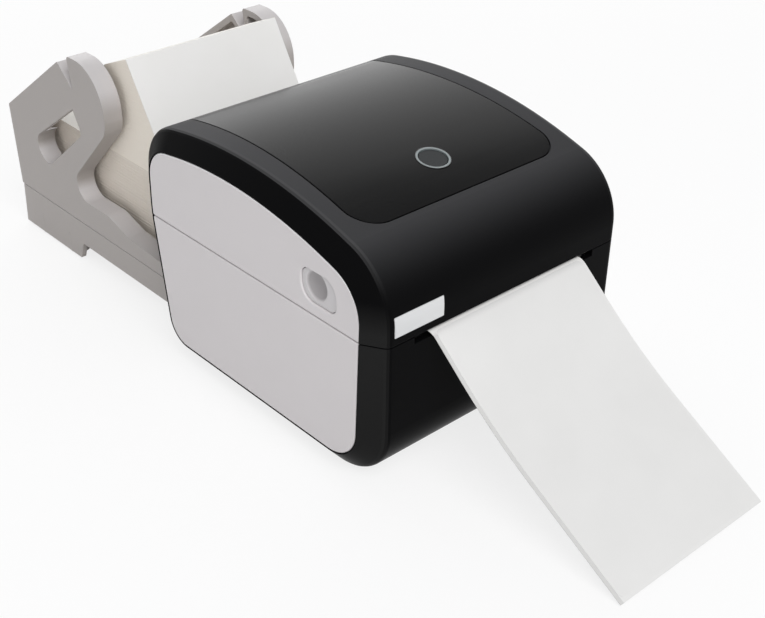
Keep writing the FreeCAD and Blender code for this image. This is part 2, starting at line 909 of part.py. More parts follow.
keep(
    group("head_spring_pair", [leaf_spring(f"head_spring_{side}", side * head_half / 2) for side in (-1, 1)]),
    "head_springs",
)


def serrated_bar():
    """The tear bar: a steel strip whose lower edge is cut into teeth."""
    body = new_body("tear_bar_body")
    inner = front + tear_set
    low = lid_low - slip
    sketch = sketch_on(body, "XZ_Plane", -inner - tear_thick)
    outline(
        sketch,
        [
            (-liner_half - tear_pitch, low, 0),
            (liner_half + tear_pitch, low, 0),
            (liner_half + tear_pitch, low + 2 * tear_pitch, 0),
            (-liner_half - tear_pitch, low + 2 * tear_pitch, 0),
        ],
    )
    pad(body, sketch, tear_thick)
    notch = sketch_on(body, "XZ_Plane", -inner - tear_thick)
    outline(
        notch,
        [
            (-liner_half - tear_pitch / 2, low - slip, 0),
            (-liner_half + tear_pitch / 2, low - slip, 0),
            (-liner_half, low + tear_pitch / 3, 0),
        ],
    )
    first = pocket(body, notch, tear_thick, True)
    teeth = body.newObject("PartDesign::LinearPattern", "Teeth")
    teeth.Originals = [first]
    teeth.Direction = (notch, ["H_Axis"])
    bind(teeth, "Length", 2 * liner_half)
    bind(teeth, "Occurrences", 2 * liner_half / tear_pitch + 1)
    body.Tip = teeth
    return body


keep(serrated_bar(), "tear_bar")

# Lid shell
lid_block = common("lid_block", case_form, upper_zone)
lid_hollowed = cut(
    "lid_hollowed",
    lid_block,
    [case_hollow, top_recess, button_hole] + panel_recesses + release_holes + lid_barrel_rooms,
)
lid_solid = fuse("lid_solid", [lid_hollowed] + lid_barrels + liner_posts + bracket_posts + button_posts)
keep(cut("lid_cut", lid_solid, barrel_bores), "lid_shell")

# Media bin: an open trough for a label roll, on four legs screwed to the floor
bin_front = front + bin_front_set
bin_back = bin_front + bin_depth
bin_trough = new_body("bin_trough")
bin_sketch = sketch_on(bin_trough, "YZ_Plane", -bin_half)
outline(
    bin_sketch,
    [
        (bin_front, bin_low, bin_round),
        (bin_back, bin_low, bin_round),
        (bin_back, bin_back_high, 0),
        (bin_front, bin_front_high, 0),
    ],
)
pad(bin_trough, bin_sketch, 2 * bin_half)
trough_room = sketch_on(bin_trough, "YZ_Plane", -bin_half + bin_wall)
outline(
    trough_room,
    [
        (bin_front + bin_wall, bin_low + bin_wall, bin_round - bin_wall),
        (bin_back - bin_wall, bin_low + bin_wall, bin_round - bin_wall),
        (bin_back - bin_wall, bin_front_high + wall, 0),
        (bin_front + bin_wall, bin_front_high + wall, 0),
    ],
)
pocket(bin_trough, trough_room, 2 * bin_half - 2 * bin_wall, True)

leg_radius = 1.6 * wall
screw_radius = 1.5
screw_head_radius = 3
legs = []
leg_bores = []
floor_bores = []
screws = []
for side in (-1, 1):
    for along in (bin_front + 1.2 * bin_round, bin_back - 1.2 * bin_round):
        spot = len(legs)
        across = side * (bin_half - 10 * wall)
        leg_length = bin_low - floor_top + bin_wall / 2
        legs.append(rod(f"bin_leg_{spot}", "Z", (across, along, floor_top), leg_radius, leg_length))
        leg_bores.append(
            rod(f"leg_bore_{spot}", "Z", (across, along, floor_top), screw_radius + running_gap, 4 * wall)
        )
        head_top = foot_height + 1.4
        floor_bores.append(
            rod(f"floor_bore_{spot}", "Z", (across, along, 0), screw_radius + slip, floor_top + 1)
        )
        floor_bores.append(
            rod(f"floor_sink_{spot}", "Z", (across, along, 0), screw_head_radius + slip, head_top)
        )
        shank = rod(f"screw_shank_{spot}", "Z", (across, along, head_top - 1), screw_radius, 4 * wall)
        head = rod(f"screw_head_{spot}", "Z", (across, along, head_top - 1), screw_head_radius, 1)
        screws.append(fuse(f"screw_{spot}", [shank, head]))
keep(group("base_screw_set", screws), "base_screws")

board_front = bin_back + board_stand
board_low = bin_low - 3 * wall
board_limits = (-bin_half + bin_wall, bin_half / 2 + bin_wall)
standoff_start = bin_back - bin_wall / 2
standoff_up = bin_back_high - 2 * wall
standoffs = [
    rod(f"board_standoff_{i}", "Y", (across, standoff_start, standoff_up), wall, board_front - standoff_start)
    for i, across in enumerate((board_limits[0] + 2 * wall, board_limits[1] - 2 * wall))
]
keep(cut("bin_cut", fuse("bin_solid", [bin_trough] + legs + standoffs), leg_bores), "media_bin")

# Main board behind the bin, with its sockets in the back wall
keep(
    block(
        "board_blank",
        board_limits,
        (board_front, board_front + board_thick),
        (board_low, bin_back_high - wall),
    ),
    "main_board",
)
port_front = board_front + board_thick
port_back = back - back_lean / 2 - 0.5


def usb_socket():
    """A square data socket: a steel box round a plastic tongue."""
    half_width = 6
    half_height = 5.5
    metal = 0.9
    tongue_half = 2.8
    tongue_high = 1.6
    along = (port_front, port_back)
    shell = block(
        "usb_shell",
        (usb_set - half_width, usb_set + half_width),
        along,
        (port_height - half_height, port_height + half_height),
    )
    room = block(
        "usb_room",
        (usb_set - half_width + metal, usb_set + half_width - metal),
        (port_front + 2, port_back + 1),
        (port_height - half_height + metal, port_height + half_height - metal),
    )
    tongue = block(
        "usb_tongue",
        (usb_set - tongue_half, usb_set + tongue_half),
        (port_front + 1, port_back - 1),
        (port_height - tongue_high, port_height + tongue_high),
    )
    hole = block(
        "usb_hole",
        (usb_set - half_width - slip, usb_set + half_width + slip),
        (port_front + wall, back + 1),
        (port_height - half_height - slip, port_height + half_height + slip),
    )
    return fuse("usb_set_up", [cut("usb_box", shell, [room]), tongue]), hole


def power_jack():
    """A round power inlet with a centre pin, in a square body."""
    half = 5
    bore_radius = 3.1
    pin_radius = 1
    shell = block(
        "jack_shell",
        (jack_set - half, jack_set + half),
        (port_front, port_back),
        (port_height - half, port_height + half),
    )
    depth = port_back - port_front
    bore = rod("jack_bore", "Y", (jack_set, port_front + 2, port_height), bore_radius, depth)
    pin = rod("jack_pin", "Y", (jack_set, port_front + 1, port_height), pin_radius, depth - 2)
    hole = block(
        "jack_hole",
        (jack_set - half - slip, jack_set + half + slip),
        (port_front + wall, back + 1),
        (port_height - half - slip, port_height + half + slip),
    )
    return fuse("jack_set_up", [cut("jack_box", shell, [bore]), pin]), hole


usb, usb_hole = usb_socket()
jack, jack_hole = power_jack()
keep(usb, "usb_socket")
keep(jack, "dc_jack")


def power_switch():
    """A bezel through the back wall and the rocker that tips in it."""
    half_width = 10.5
    half_height = 7
    rim = 1.5
    depth = 10
    rocker_half_width = half_width - rim - 0.4
    rocker_half_height = half_height - rim - 0.6
    bezel_back = port_back + 1.5
    bezel = block(
        "bezel_blank",
        (switch_set - half_width, switch_set + half_width),
        (bezel_back - depth, bezel_back),
        (port_height - half_height, port_height + half_height),
    )
    window = block(
        "switch_window",
        (switch_set - half_width + rim, switch_set + half_width - rim),
        (bezel_back - depth + rim, bezel_back + 1),
        (port_height - half_height + rim, port_height + half_height - rim),
    )
    axis_along = bezel_back - 1.2
    trunnion_half = half_width - rim / 3
    rocker = new_body("rocker_body")
    sketch = sketch_on(rocker, "YZ_Plane", -rocker_half_width)
    outline(
        sketch,
        [
            (-3.2, -rocker_half_height / 2, 0),
            (1.6, -rocker_half_height, 0.5),
            (0.4, 0, 0),
            (1.6, rocker_half_height, 0.5),
            (-3.2, rocker_half_height / 2, 0),
        ],
    )
    pad(rocker, sketch, 2 * rocker_half_width)
    rocker.Placement = Placement(Vector(), Rotation(Vector(1, 0, 0), -number(rocker_turn)))
    place(rocker, switch_set, axis_along, port_height)
    trunnion = rod(
        "rocker_trunnion",
        "X",
        (switch_set - trunnion_half, axis_along, port_height),
        trunnion_radius,
        2 * trunnion_half,
    )
    trunnion_hole = rod(
        "trunnion_hole",
        "X",
        (switch_set - trunnion_half - slip, axis_along, port_height),
        trunnion_radius + running_gap,
        2 * trunnion_half + 2 * slip,
    )
    hole = block(
        "switch_hole",
        (switch_set - half_width - slip, switch_set + half_width + slip),
        (port_front, back + 1),
        (port_height - half_height - slip, port_height + half_height + slip),
    )
    tipping = fuse("rocker_on_trunnions", [rocker, trunnion])
    return cut("switch_frame", bezel, [window, trunnion_hole]), tipping, hole


bezel, rocker, switch_hole = power_switch()
keep(bezel, "switch_bezel")
keep(rocker, "power_rocker")

# Platen, its bushes and the two side plates that carry it
platen_along = front + platen_set
platen_up = web_height - liner_thick / 2 - slip - platen_radius
plate_front = front + wall + front_lean + 2
plate_back = front + bin_front_set - wall
plate_high = platen_up + 2 * bush_wall + shaft_radius
idler_away = gear_module * (platen_teeth + idler_teeth) / 2
idler_along = platen_along + idler_away * cosine(idler_turn)
idler_up = platen_up + idler_away * sine(idler_turn)
motor_away = gear_module * (idler_teeth + pinion_teeth) / 2
motor_along = idler_along + motor_away * cosine(motor_turn)
motor_up = idler_up + motor_away * sine(motor_turn)

keep(
    rod(
        "shaft",
        "X",
        (-plate_half - plate_thick - gear_gap, platen_along, platen_up),
        shaft_radius,
        shaft_end + plate_half + plate_thick + gear_gap,
    ),
    "platen_shaft",
)
roller_tube = cut(
    "roller_tube",
    rod("roller_outside", "X", (-platen_half, platen_along, platen_up), platen_radius, 2 * platen_half),
    [rod("roller_bore", "X", (-platen_half, platen_along, platen_up), shaft_radius, 2 * platen_half)],
)
keep(roller_tube, "platen_roller")


def bush(side):
    """A flanged bearing bush set in a side plate."""
    start = plate_half if side > 0 else -plate_half - plate_thick
    spot = (start, platen_along, platen_up)
    flange_start = plate_half - plate_thick if side > 0 else -plate_half
    sleeve = rod(f"bush_sleeve_{side}", "X", spot, shaft_radius + bush_wall, plate_thick)
    flange = rod(
        f"bush_flange_{side}",
        "X",
        (flange_start, platen_along, platen_up),
        shaft_radius + 1.5 * bush_wall,
        plate_thick,
    )
    bore = rod(
        f"bush_bore_{side}",
        "X",
        (-shaft_end, platen_along, platen_up),
        shaft_radius + running_gap,
        2 * shaft_end,
    )
    return cut(f"bush_{side}", fuse(f"bush_blank_{side}", [sleeve, flange]), [bore])


keep(group("bush_pair", [bush(-1), bush(1)]), "platen_bushes")


def side_plate(label, side, extra_holes):
    """An upright steel plate with the bush hole and any others."""
    start = plate_half if side > 0 else -plate_half - plate_thick
    blank = prism(
        label + "_blank",
        "YZ_Plane",
        start,
        [
            (plate_front, floor_top, front_low_round),
            (plate_back, floor_top, 0),
            (plate_back, bin_front_high - 2 * wall, 2 * wall),
            (platen_along + 4 * bush_wall, plate_high, 0),
            (plate_front, plate_high, wall),
        ],
        plate_thick,
    )
    hole = rod(
        label + "_bush_hole",
        "X",
        (start - 1, platen_along, platen_up),
        shaft_radius + bush_wall,
        plate_thick + 2,
    )
    return cut(label, blank, [hole] + extra_holes)


motor_hole = rod(
    "motor_hole", "X", (plate_half - 1, motor_along, motor_up), 2 * motor_shaft_radius, plate_thick + 2
)
idler_hole = rod(
    "idler_hole", "X", (plate_half - 1, idler_along, idler_up), idler_pin_radius, plate_thick + 2
)
keep(side_plate("bearing_plate_solid", -1, []), "bearing_plate")
keep(side_plate("drive_plate_solid", 1, [motor_hole, idler_hole]), "drive_plate")
keep(
    rod("idler_axle", "X", (plate_half, idler_along, idler_up), idler_pin_radius, shaft_end - plate_half),
    "idler_pin",
)
motor_bore = rod(
    "motor_bore",
    "X",
    (plate_half - motor_length / 2, motor_along, motor_up),
    motor_shaft_radius + running_gap,
    motor_length,
)
motor_can = rod(
    "motor_can", "X", (plate_half - motor_length, motor_along, motor_up), motor_radius, motor_length
)
keep(cut("motor_cut", motor_can, [motor_bore]), "step_motor")


def gear(label, teeth, bore_radius, phase, along, up):
    """A spur gear: a root disc with one tooth repeated round it, and its bore."""
    pitch_radius = gear_module * teeth / 2
    root_radius = pitch_radius - 1.2 * gear_module
    tip_radius = pitch_radius + 0.9 * gear_module
    body = new_body(label + "_body")
    disc = sketch_on(body, "YZ_Plane", Size(0, "0"))
    circle_on(disc, 0, 0, root_radius)
    pad(body, disc, gear_width)
    flank = sketch_on(body, "YZ_Plane", Size(0, "0"))
    outline(
        flank,
        [
            (root_radius - gear_module / 2, -0.8 * gear_module, 0),
            (pitch_radius, -0.62 * gear_module, 0),
            (tip_radius, -0.3 * gear_module, 0),
            (tip_radius, 0.3 * gear_module, 0),
            (pitch_radius, 0.62 * gear_module, 0),
            (root_radius - gear_module / 2, 0.8 * gear_module, 0),
        ],
    )
    tooth = pad(body, flank, gear_width)
    ring = body.newObject("PartDesign::PolarPattern", "Teeth")
    ring.Originals = [tooth]
    ring.Axis = (disc, ["N_Axis"])
    ring.Angle = 360
    bind(ring, "Occurrences", teeth)
    body.Tip = ring
    bore = sketch_on(body, "YZ_Plane", Size(0, "0"))
    circle_on(bore, 0, 0, bore_radius)
    body.Tip = pocket(body, bore, gear_width, True)
    body.Placement = Placement(Vector(), Rotation(Vector(1, 0, 0), phase))
    return place(body, gear_start, along, up)


idler_phase = number(idler_turn) + 180 + 180 / number(idler_teeth)
idler_step = 360 / number(idler_teeth)
past_tooth = (number(motor_turn) - idler_phase) % idler_step
gear_ratio = number(idler_teeth) / number(pinion_teeth)
pinion_phase = number(motor_turn) + 180 + past_tooth * gear_ratio + 180 / number(pinion_teeth)
keep(
    gear("platen_gear", platen_teeth, shaft_radius, number(idler_turn), platen_along, platen_up),
    "platen_gear",
)
keep(
    gear("idler_gear", idler_teeth, idler_pin_radius + running_gap, idler_phase, idler_along, idler_up),
    "idler_gear",
)
keep(
    gear("motor_pinion", pinion_teeth, motor_shaft_radius, pinion_phase, motor_along, motor_up),
    "motor_pinion",
)
keep(
    rod(
        "motor_axle",
        "X",
        (plate_half - motor_length / 2 + 1, motor_along, motor_up),
        motor_shaft_radius,
        shaft_end - plate_half + motor_length / 2 - 1,
    ),
    "motor_shaft",
)

# Web deck between the side plates, with the gap sensor set in it
deck_front = platen_along + platen_radius + wall
deck_back = bin_front - slip
deck_drop = 1.2
deck_front_high = web_height - deck_drop
deck_back_high = deck_front_high - deck_drop
deck_blank = prism(
    "deck_blank",
    "YZ_Plane",
    -plate_half,
    [
        (deck_front, deck_front_high - 2 * wall, 0),
        (deck_back, deck_back_high - 2 * wall, 0),
        (deck_back, deck_back_high, 0),
        (deck_front, deck_front_high, 0),
    ],
    2 * plate_half,
)
sensor_half = 6
sensor_front = deck_front + wall
sensor_limits = ((-sensor_half, sensor_half), (sensor_front, sensor_front + 2 * wall))
sensor_pocket = block("sensor_pocket", *sensor_limits, (deck_front_high - 1.5 * wall, web_height))
keep(cut("deck_cut", deck_blank, [sensor_pocket]), "web_deck")
keep(
    block("sensor_blank", *sensor_limits, (deck_front_high - 1.5 * wall, deck_back_high)),
    "gap_sensor",
)

# Base shell, with the slots, holes and catches that other pieces use
exit_slot = block(
    "exit_slot",
    (-slot_half, slot_half),
    (front - 1, front + 2 * wall),
    (base_high - slot_depth, split_height),
)
inlet_slot = block(
    "inlet_slot", (-inlet_half, inlet_half), (back - 6 * wall, back + 1), (inlet_low, inlet_high)
)
foot_spots = [(x, y) for x in (-foot_across, foot_across) for y in (front + foot_along, back - foot_along)]
foot_rooms = [
    rod(f"foot_room_{i}", "Z", (x, y, 0), foot_radius + slip, foot_height + foot_sink)
    for i, (x, y) in enumerate(foot_spots)
]
feet = [
    rod(f"foot_{i}", "Z", (x, y, 0), foot_radius, foot_height + foot_sink)
    for i, (x, y) in enumerate(foot_spots)
]
keep(group("foot_set", feet), "rubber_feet")

tongue_low = stand_low + 1
tongue_back = back - back_lean - wall
tongue_slots = []
for side in (-1, 1):
    low_x = tongue_set if side > 0 else -tongue_set - tongue_width
    tongue_slots.append(
        block(
            f"tongue_slot_{side}",
            (low_x - slip, low_x + tongue_width + slip),
            (back - back_lean - 4 * wall, back),
            (tongue_low - slip, tongue_low + tongue_thick + slip),
        )
    )
catches = []
for name, side in (("left", -1), ("right", 1)):
    inside = wall_inside - slip
    limits = (inside, wall_inside + 1) if side > 0 else (-wall_inside - 1, -inside)
    along = front + release_set
    catches.append(
        block(
            f"{name}_catch",
            limits,
            (along - latch_width / 2, along + latch_width / 2),
            (release_height - latch_reach + 2 * latch_thick, base_high),
        )
    )
base_block = common("base_block", case_form, lower_zone)
base_hollowed = cut(
    "base_hollowed",
    base_block,
    [case_hollow, exit_slot, inlet_slot, usb_hole, jack_hole, switch_hole]
    + panel_recesses
    + base_barrel_rooms
    + foot_rooms
    + floor_bores
    + tongue_slots,
)
base_solid = fuse("base_solid", [base_hollowed] + base_barrels + catches)
keep(cut("base_cut", base_solid, barrel_bores), "base_shell")


# Labels: a ribbon with rounded bends, from the folds behind to the end in front
def ribbon(path, low, high, half_width):
    """A thin strip along (along, up, rounding) points, between two offsets from them."""
    spots = [Vector(number(y), number(z), 0) for y, z, _ in path]
    upper = []
    lower = []
    here = spots[0]
    for i in range(1, len(spots)):
        way = (spots[i] - spots[i - 1]).normalize()
        up = Vector(-way.y, way.x, 0)
        last = i == len(spots) - 1
        if last:
            stop = spots[i]
        else:
            radius = number(path[i][2])
            stop, leave, centre, left = corner_arc(spots[i - 1], spots[i], spots[i + 1], radius)
        for side, offset in ((upper, high), (lower, low)):
            side.append(Part.LineSegment(here + up * offset, stop + up * offset).toShape())
        if last:
            break
        middle = centre + (spots[i] - centre).normalize() * radius
        bend = 1 if left else -1
        for side, offset in ((upper, high), (lower, low)):
            share = (radius - bend * offset) / radius
            points = [centre + (p - centre) * share for p in (stop, middle, leave)]
            side.append(Part.Arc(*points).toShape())
        here = leave
    first = Part.LineSegment(lower[0].Vertexes[0].Point, upper[0].Vertexes[0].Point).toShape()
    final = Part.LineSegment(upper[-1].Vertexes[-1].Point, lower[-1].Vertexes[-1].Point).toShape()
    wire = Part.Wire(Part.__sortEdges__([first] + upper + [final] + lower))
    face = Part.Face(wire)
    face.rotate(Vector(), Vector(1, 1, 1), 120)
    strip = face.extrude(Vector(2 * number(half_width), 0, 0))
    strip.translate(Vector(-number(half_width), 0, 0))
    return strip


stack_front = stand_front + stack_set
fold_front = stack_front - slip
fold_peak = fold_front + fold_slope_run
web_start = (fold_peak, fold_top, 0)
web_leave = (fold_front + 0.22 * fold_slope_run, stack_top + 0.22 * (fold_top - stack_top), 60)
web_inlet = (back - 2 * wall, inlet_low + 2 * wall, 25)
web_deck_point = (deck_front, web_height, 60)
web_exit = (front - 1, web_height, exit_round)
web_bend = (front - label_bend_set, label_bend_height, label_bend_round)
web_end = (front - label_reach, label_end_height, 0)
half_liner = number(liner_thick) / 2
web_path = [web_end, web_bend, web_exit, web_deck_point, web_inlet, web_leave, web_start]
web_strip = doc.addObject("Part::Feature", "web_strip")
web_strip.Shape = ribbon(web_path, -half_liner, half_liner, liner_half)
keep(web_strip, "label_web")
label_fall = arctangent((label_bend_height - label_end_height) / (label_reach - label_bend_set))
label_front = front - label_reach + label_margin * cosine(label_fall)
label_path = [
    (label_front, label_end_height + label_margin * sine(label_fall), 0),
    web_bend,
    web_exit,
    (front + 2 * wall, web_height, 0),
]
label_strip = doc.addObject("Part::Feature", "label_strip")
label_strip.Shape = ribbon(label_path, half_liner, half_liner + number(label_thick), label_half)
label_plan = prism(
    "label_plan",
    "XY_Plane",
    Size(0, "0"),
    [
        (-label_half, label_front - label_thick, label_round),
        (label_half, label_front - label_thick, label_round),
        (label_half, front - slip, label_round),
        (-label_half, front - slip, label_round),
    ],
    split_height,
)
keep(common("label_cut", label_strip, label_plan), "front_label")

# Fan-fold stack and the folds that rise from it
stack_low = stand_low + stand_floor
keep(
    block(
        "stack_blank",
        (-liner_half, liner_half),
        (stack_front, stack_front + stack_depth),
        (stack_low, stack_top),
    ),
    "fanfold_stack",
)
face_gap = liner_thick
folds = prism(
    "folds_body",
    "YZ_Plane",
    -liner_half,
    [
        (fold_front + face_gap, stack_top, 0),
        (fold_peak + fold_thick + fold_round / 2, stack_top, 0),
        (fold_peak + fold_thick, fold_top - fold_back_drop, fold_round),
        (fold_peak + face_gap, fold_top, 1),
    ],
    2 * liner_half,
)
keep(folds, "fanfold_folds")

# Label stand: a tray with a rear foot, carrying two hooked side plates
tray = new_body("tray_body")
tray_side = sketch_on(tray, "YZ_Plane", -stand_half)
foot_front = stand_back - stand_foot_depth
tray_back = stand_back - tray_back_set
outline(
    tray_side,
    [
        (stand_front, stand_low, 0),
        (foot_front - stand_foot_run, stand_low, 2),
        (foot_front, stand_foot_low, 1),
        (tray_back, stand_foot_low, 0),
        (tray_back - rear_lean, stand_seam, 0),
        (stand_front, stand_seam, 0),
    ],
)
pad(tray, tray_side, 2 * stand_half)
tray_room = sketch_on(tray, "XY_Plane", stand_low + stand_floor)
outline(
    tray_room,
    [
        (-inside_half, stand_front - 1, 0),
        (inside_half, stand_front - 1, 0),
        (inside_half, tray_back - rear_lean - skin, 0),
        (-inside_half, tray_back - rear_lean - skin, 0),
    ],
)
pocket(tray, tray_room, stand_seam - stand_low, True)
foot_half = stand_half - skin
foot_room = sketch_on(tray, "XY_Plane", Size(0, "0"))
outline(
    foot_room,
    [
        (-foot_half, foot_front - 2 * stand_foot_run, 2),
        (foot_half, foot_front - 2 * stand_foot_run, 2),
        (foot_half, tray_back - rear_lean - skin, 2),
        (-foot_half, tray_back - rear_lean - skin, 2),
    ],
)
pocket(tray, foot_room, stand_low, True)
tongues = []
seam_grooves = []
for side in (-1, 1):
    low_x = tongue_set if side > 0 else -tongue_set - tongue_width
    tongues.append(
        block(
            f"tongue_{side}",
            (low_x, low_x + tongue_width),
            (tongue_back, stand_front + wall),
            (tongue_low, tongue_low + tongue_thick),
        )
    )
    groove_low = stand_half - seam_line if side > 0 else -stand_half
    seam_grooves.append(
        block(
            f"seam_groove_{side}",
            (groove_low, groove_low + seam_line),
            (stand_front - 1, stand_back),
            (stand_seam - seam_line, stand_seam),
        )
    )
pad_across = stand_half - plate_width / 2
pad_alongs = (foot_front + plate_width, stand_back - 2 * plate_width)
pad_spots = [(x, y) for x in (-pad_across, pad_across) for y in pad_alongs]
pad_radius = plate_width / 3
pad_sink = stand_foot_low + 1
pad_bosses = [
    rod(f"pad_boss_{i}", "Z", (x, y, stand_foot_low), pad_radius + pad_sink, stand_low - stand_foot_low + 1)
    for i, (x, y) in enumerate(pad_spots)
]
pad_rooms = [
    rod(f"pad_room_{i}", "Z", (x, y, 0), pad_radius + slip, pad_sink) for i, (x, y) in enumerate(pad_spots)
]
pads = [rod(f"stand_pad_{i}", "Z", (x, y, 0), pad_radius, pad_sink) for i, (x, y) in enumerate(pad_spots)]
keep(group("stand_pad_set", pads), "stand_pads")
tray_solid = fuse("tray_solid", [tray] + tongues + pad_bosses)
keep(cut("tray_cut", tray_solid, pad_rooms + seam_grooves), "stand_tray")

mouth = stand_back - mouth_set
plate_outline = [
    (stand_back - rear_lean, stand_seam, 0),
    (stand_back, shoulder_height, 1.5),
    (mouth + horn_set, horn_height, 0.8),
    (mouth - notch_set, notch_height, 0),
    (mouth + hook_tip_set, hook_height, 2),
    (mouth - hook_reach, hook_height, hook_round),
    (mouth - hook_reach, waist_height, waist_round),
    (mouth + throat_set, throat_height, throat_round),
    (mouth - arm_set, arm_height, elbow_round),
    (mouth - elbow_set, elbow_height, elbow_round),
    (stand_front + 1, arm_end_height, 1),
    (stand_front + 1, stand_seam, 0),
]
spindle_slot = [
    (mouth + spindle_top_set, spindle_top, 0),
    (mouth - spindle_front_set, spindle_front, spindle_round / 2),
    (mouth + spindle_low_set, spindle_low, spindle_round),
    (mouth + spindle_back_set, spindle_back, spindle_round),
]
rear_hollow = [
    (stand_back - rear_lean - rib, stand_seam + rib, rib / 2),
    (stand_back - rib, shoulder_height - rib / 2, rib / 2),
    (mouth + horn_set, horn_height - 1.2 * rib, rib / 2),
    (mouth + 1.4 * rib, notch_height + 0.7 * rib, rib / 2),
    (mouth + spindle_top_set + rib / 2, spindle_top - rib / 2, rib / 4),
    (mouth + spindle_back_set - 3.5 * rib, spindle_back + 2.2 * rib, 0),
    (mouth + spindle_back_set + 1.5 * rib, spindle_back + rib / 2, rib / 2),
    (mouth + spindle_low_set + rib / 2, spindle_low - 1.5 * rib, rib / 2),
    (mouth + spindle_low_set - rib / 2, stand_seam + rib, rib / 2),
]
arch_hollow = [
    (mouth - hook_reach + rib, waist_height + 0.6 * rib, rib),
    (mouth - spindle_front_set - rib, spindle_front + 0.4 * rib, rib / 2),
    (mouth + spindle_top_set - rib, spindle_top + 0.4 * rib, rib / 2),
    (mouth - notch_set - rib, notch_height + 0.1 * rib, rib / 2),
    (mouth + hook_tip_set - rib, hook_height - rib, rib / 2),
    (mouth - hook_reach + rib, hook_height - rib, hook_round - rib),
]


def hook_plate(label, side):
    """A plate with a notch and a slanted slot, smooth outside and hollowed from within."""
    body = new_body(label + "_body")
    blank = sketch_on(body, "YZ_Plane", inside_half if side > 0 else -stand_half)
    outline(blank, plate_outline)
    pad(body, blank, plate_width)
    for shape, depth in (
        (spindle_slot, plate_width),
        (rear_hollow, plate_width - skin),
        (arch_hollow, plate_width - skin),
    ):
        sketch = sketch_on(body, "YZ_Plane", inside_half if side > 0 else -inside_half)
        outline(sketch, shape)
        pocket(body, sketch, depth, side > 0)
    return body


keep(hook_plate("left_plate", -1), "stand_left_plate")
keep(hook_plate("right_plate", 1), "stand_right_plate")

# Every object is sound before anything is written
doc.recompute()
faults = [
    f"{thing.Name} {thing.Label} {thing.State}"
    for thing in doc.Objects
    if "Invalid" in thing.State or "Error" in thing.State
]
faults += [
    thing.Label
    for thing in nodes
    if thing.Shape.isNull() or not thing.Shape.isValid() or not thing.Shape.Solids
]
if faults:
    raise SystemExit("failed: " + "; ".join(faults))
os.makedirs("parts", exist_ok=True)
for thing in nodes:
    thing.Shape.exportStep(f"parts/{thing.Label}.step")
print(len(nodes), "pieces")
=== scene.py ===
import json
import math

import bpy
from mathutils import Matrix, Vector


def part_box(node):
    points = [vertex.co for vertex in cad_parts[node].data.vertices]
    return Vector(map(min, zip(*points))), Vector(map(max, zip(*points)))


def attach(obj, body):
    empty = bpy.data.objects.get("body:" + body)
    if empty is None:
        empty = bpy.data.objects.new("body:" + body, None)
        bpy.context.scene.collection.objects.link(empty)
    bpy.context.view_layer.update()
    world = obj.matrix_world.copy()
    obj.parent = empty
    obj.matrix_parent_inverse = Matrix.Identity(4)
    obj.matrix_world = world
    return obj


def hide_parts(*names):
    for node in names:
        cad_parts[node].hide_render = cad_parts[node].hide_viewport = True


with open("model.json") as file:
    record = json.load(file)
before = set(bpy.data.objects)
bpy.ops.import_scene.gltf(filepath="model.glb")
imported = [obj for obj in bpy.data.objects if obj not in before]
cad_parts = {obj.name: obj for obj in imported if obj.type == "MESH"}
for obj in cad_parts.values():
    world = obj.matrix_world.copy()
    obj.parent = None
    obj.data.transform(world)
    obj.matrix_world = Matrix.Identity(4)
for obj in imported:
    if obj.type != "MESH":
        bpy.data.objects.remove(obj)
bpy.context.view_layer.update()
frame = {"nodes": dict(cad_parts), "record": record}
nodes = frame["nodes"]
behaviour = frame["record"]["behaviour"]

# Grain and clouds that the finishes share, with the range that a noise mostly keeps to
CASE_GRAIN = 2200.0
FINE_GRAIN = 1500.0
GRAIN_DETAIL = 3.0
GRAIN_ROUGH = 0.6
CLOUD_SCALE = 22.0
CLOUD_DETAIL = 3.0
CLOUD_SHARE = 0.4
NOISE_SPAN = (0.3, 0.7)
CLOUDED_SPAN = (0.5, 0.9)
EDGE_SAMPLES = 6


# Shader building
class Wire:
    """A shader socket that takes part in sums."""

    def __init__(self, finish, socket):
        self.finish = finish
        self.socket = socket

    def __add__(self, other):
        return self.finish.math("ADD", self, other)

    def __radd__(self, other):
        return self.finish.math("ADD", other, self)

    def __rsub__(self, other):
        return self.finish.math("SUBTRACT", other, self)

    def __mul__(self, other):
        return self.finish.math("MULTIPLY", self, other)

    def __rmul__(self, other):
        return self.finish.math("MULTIPLY", other, self)


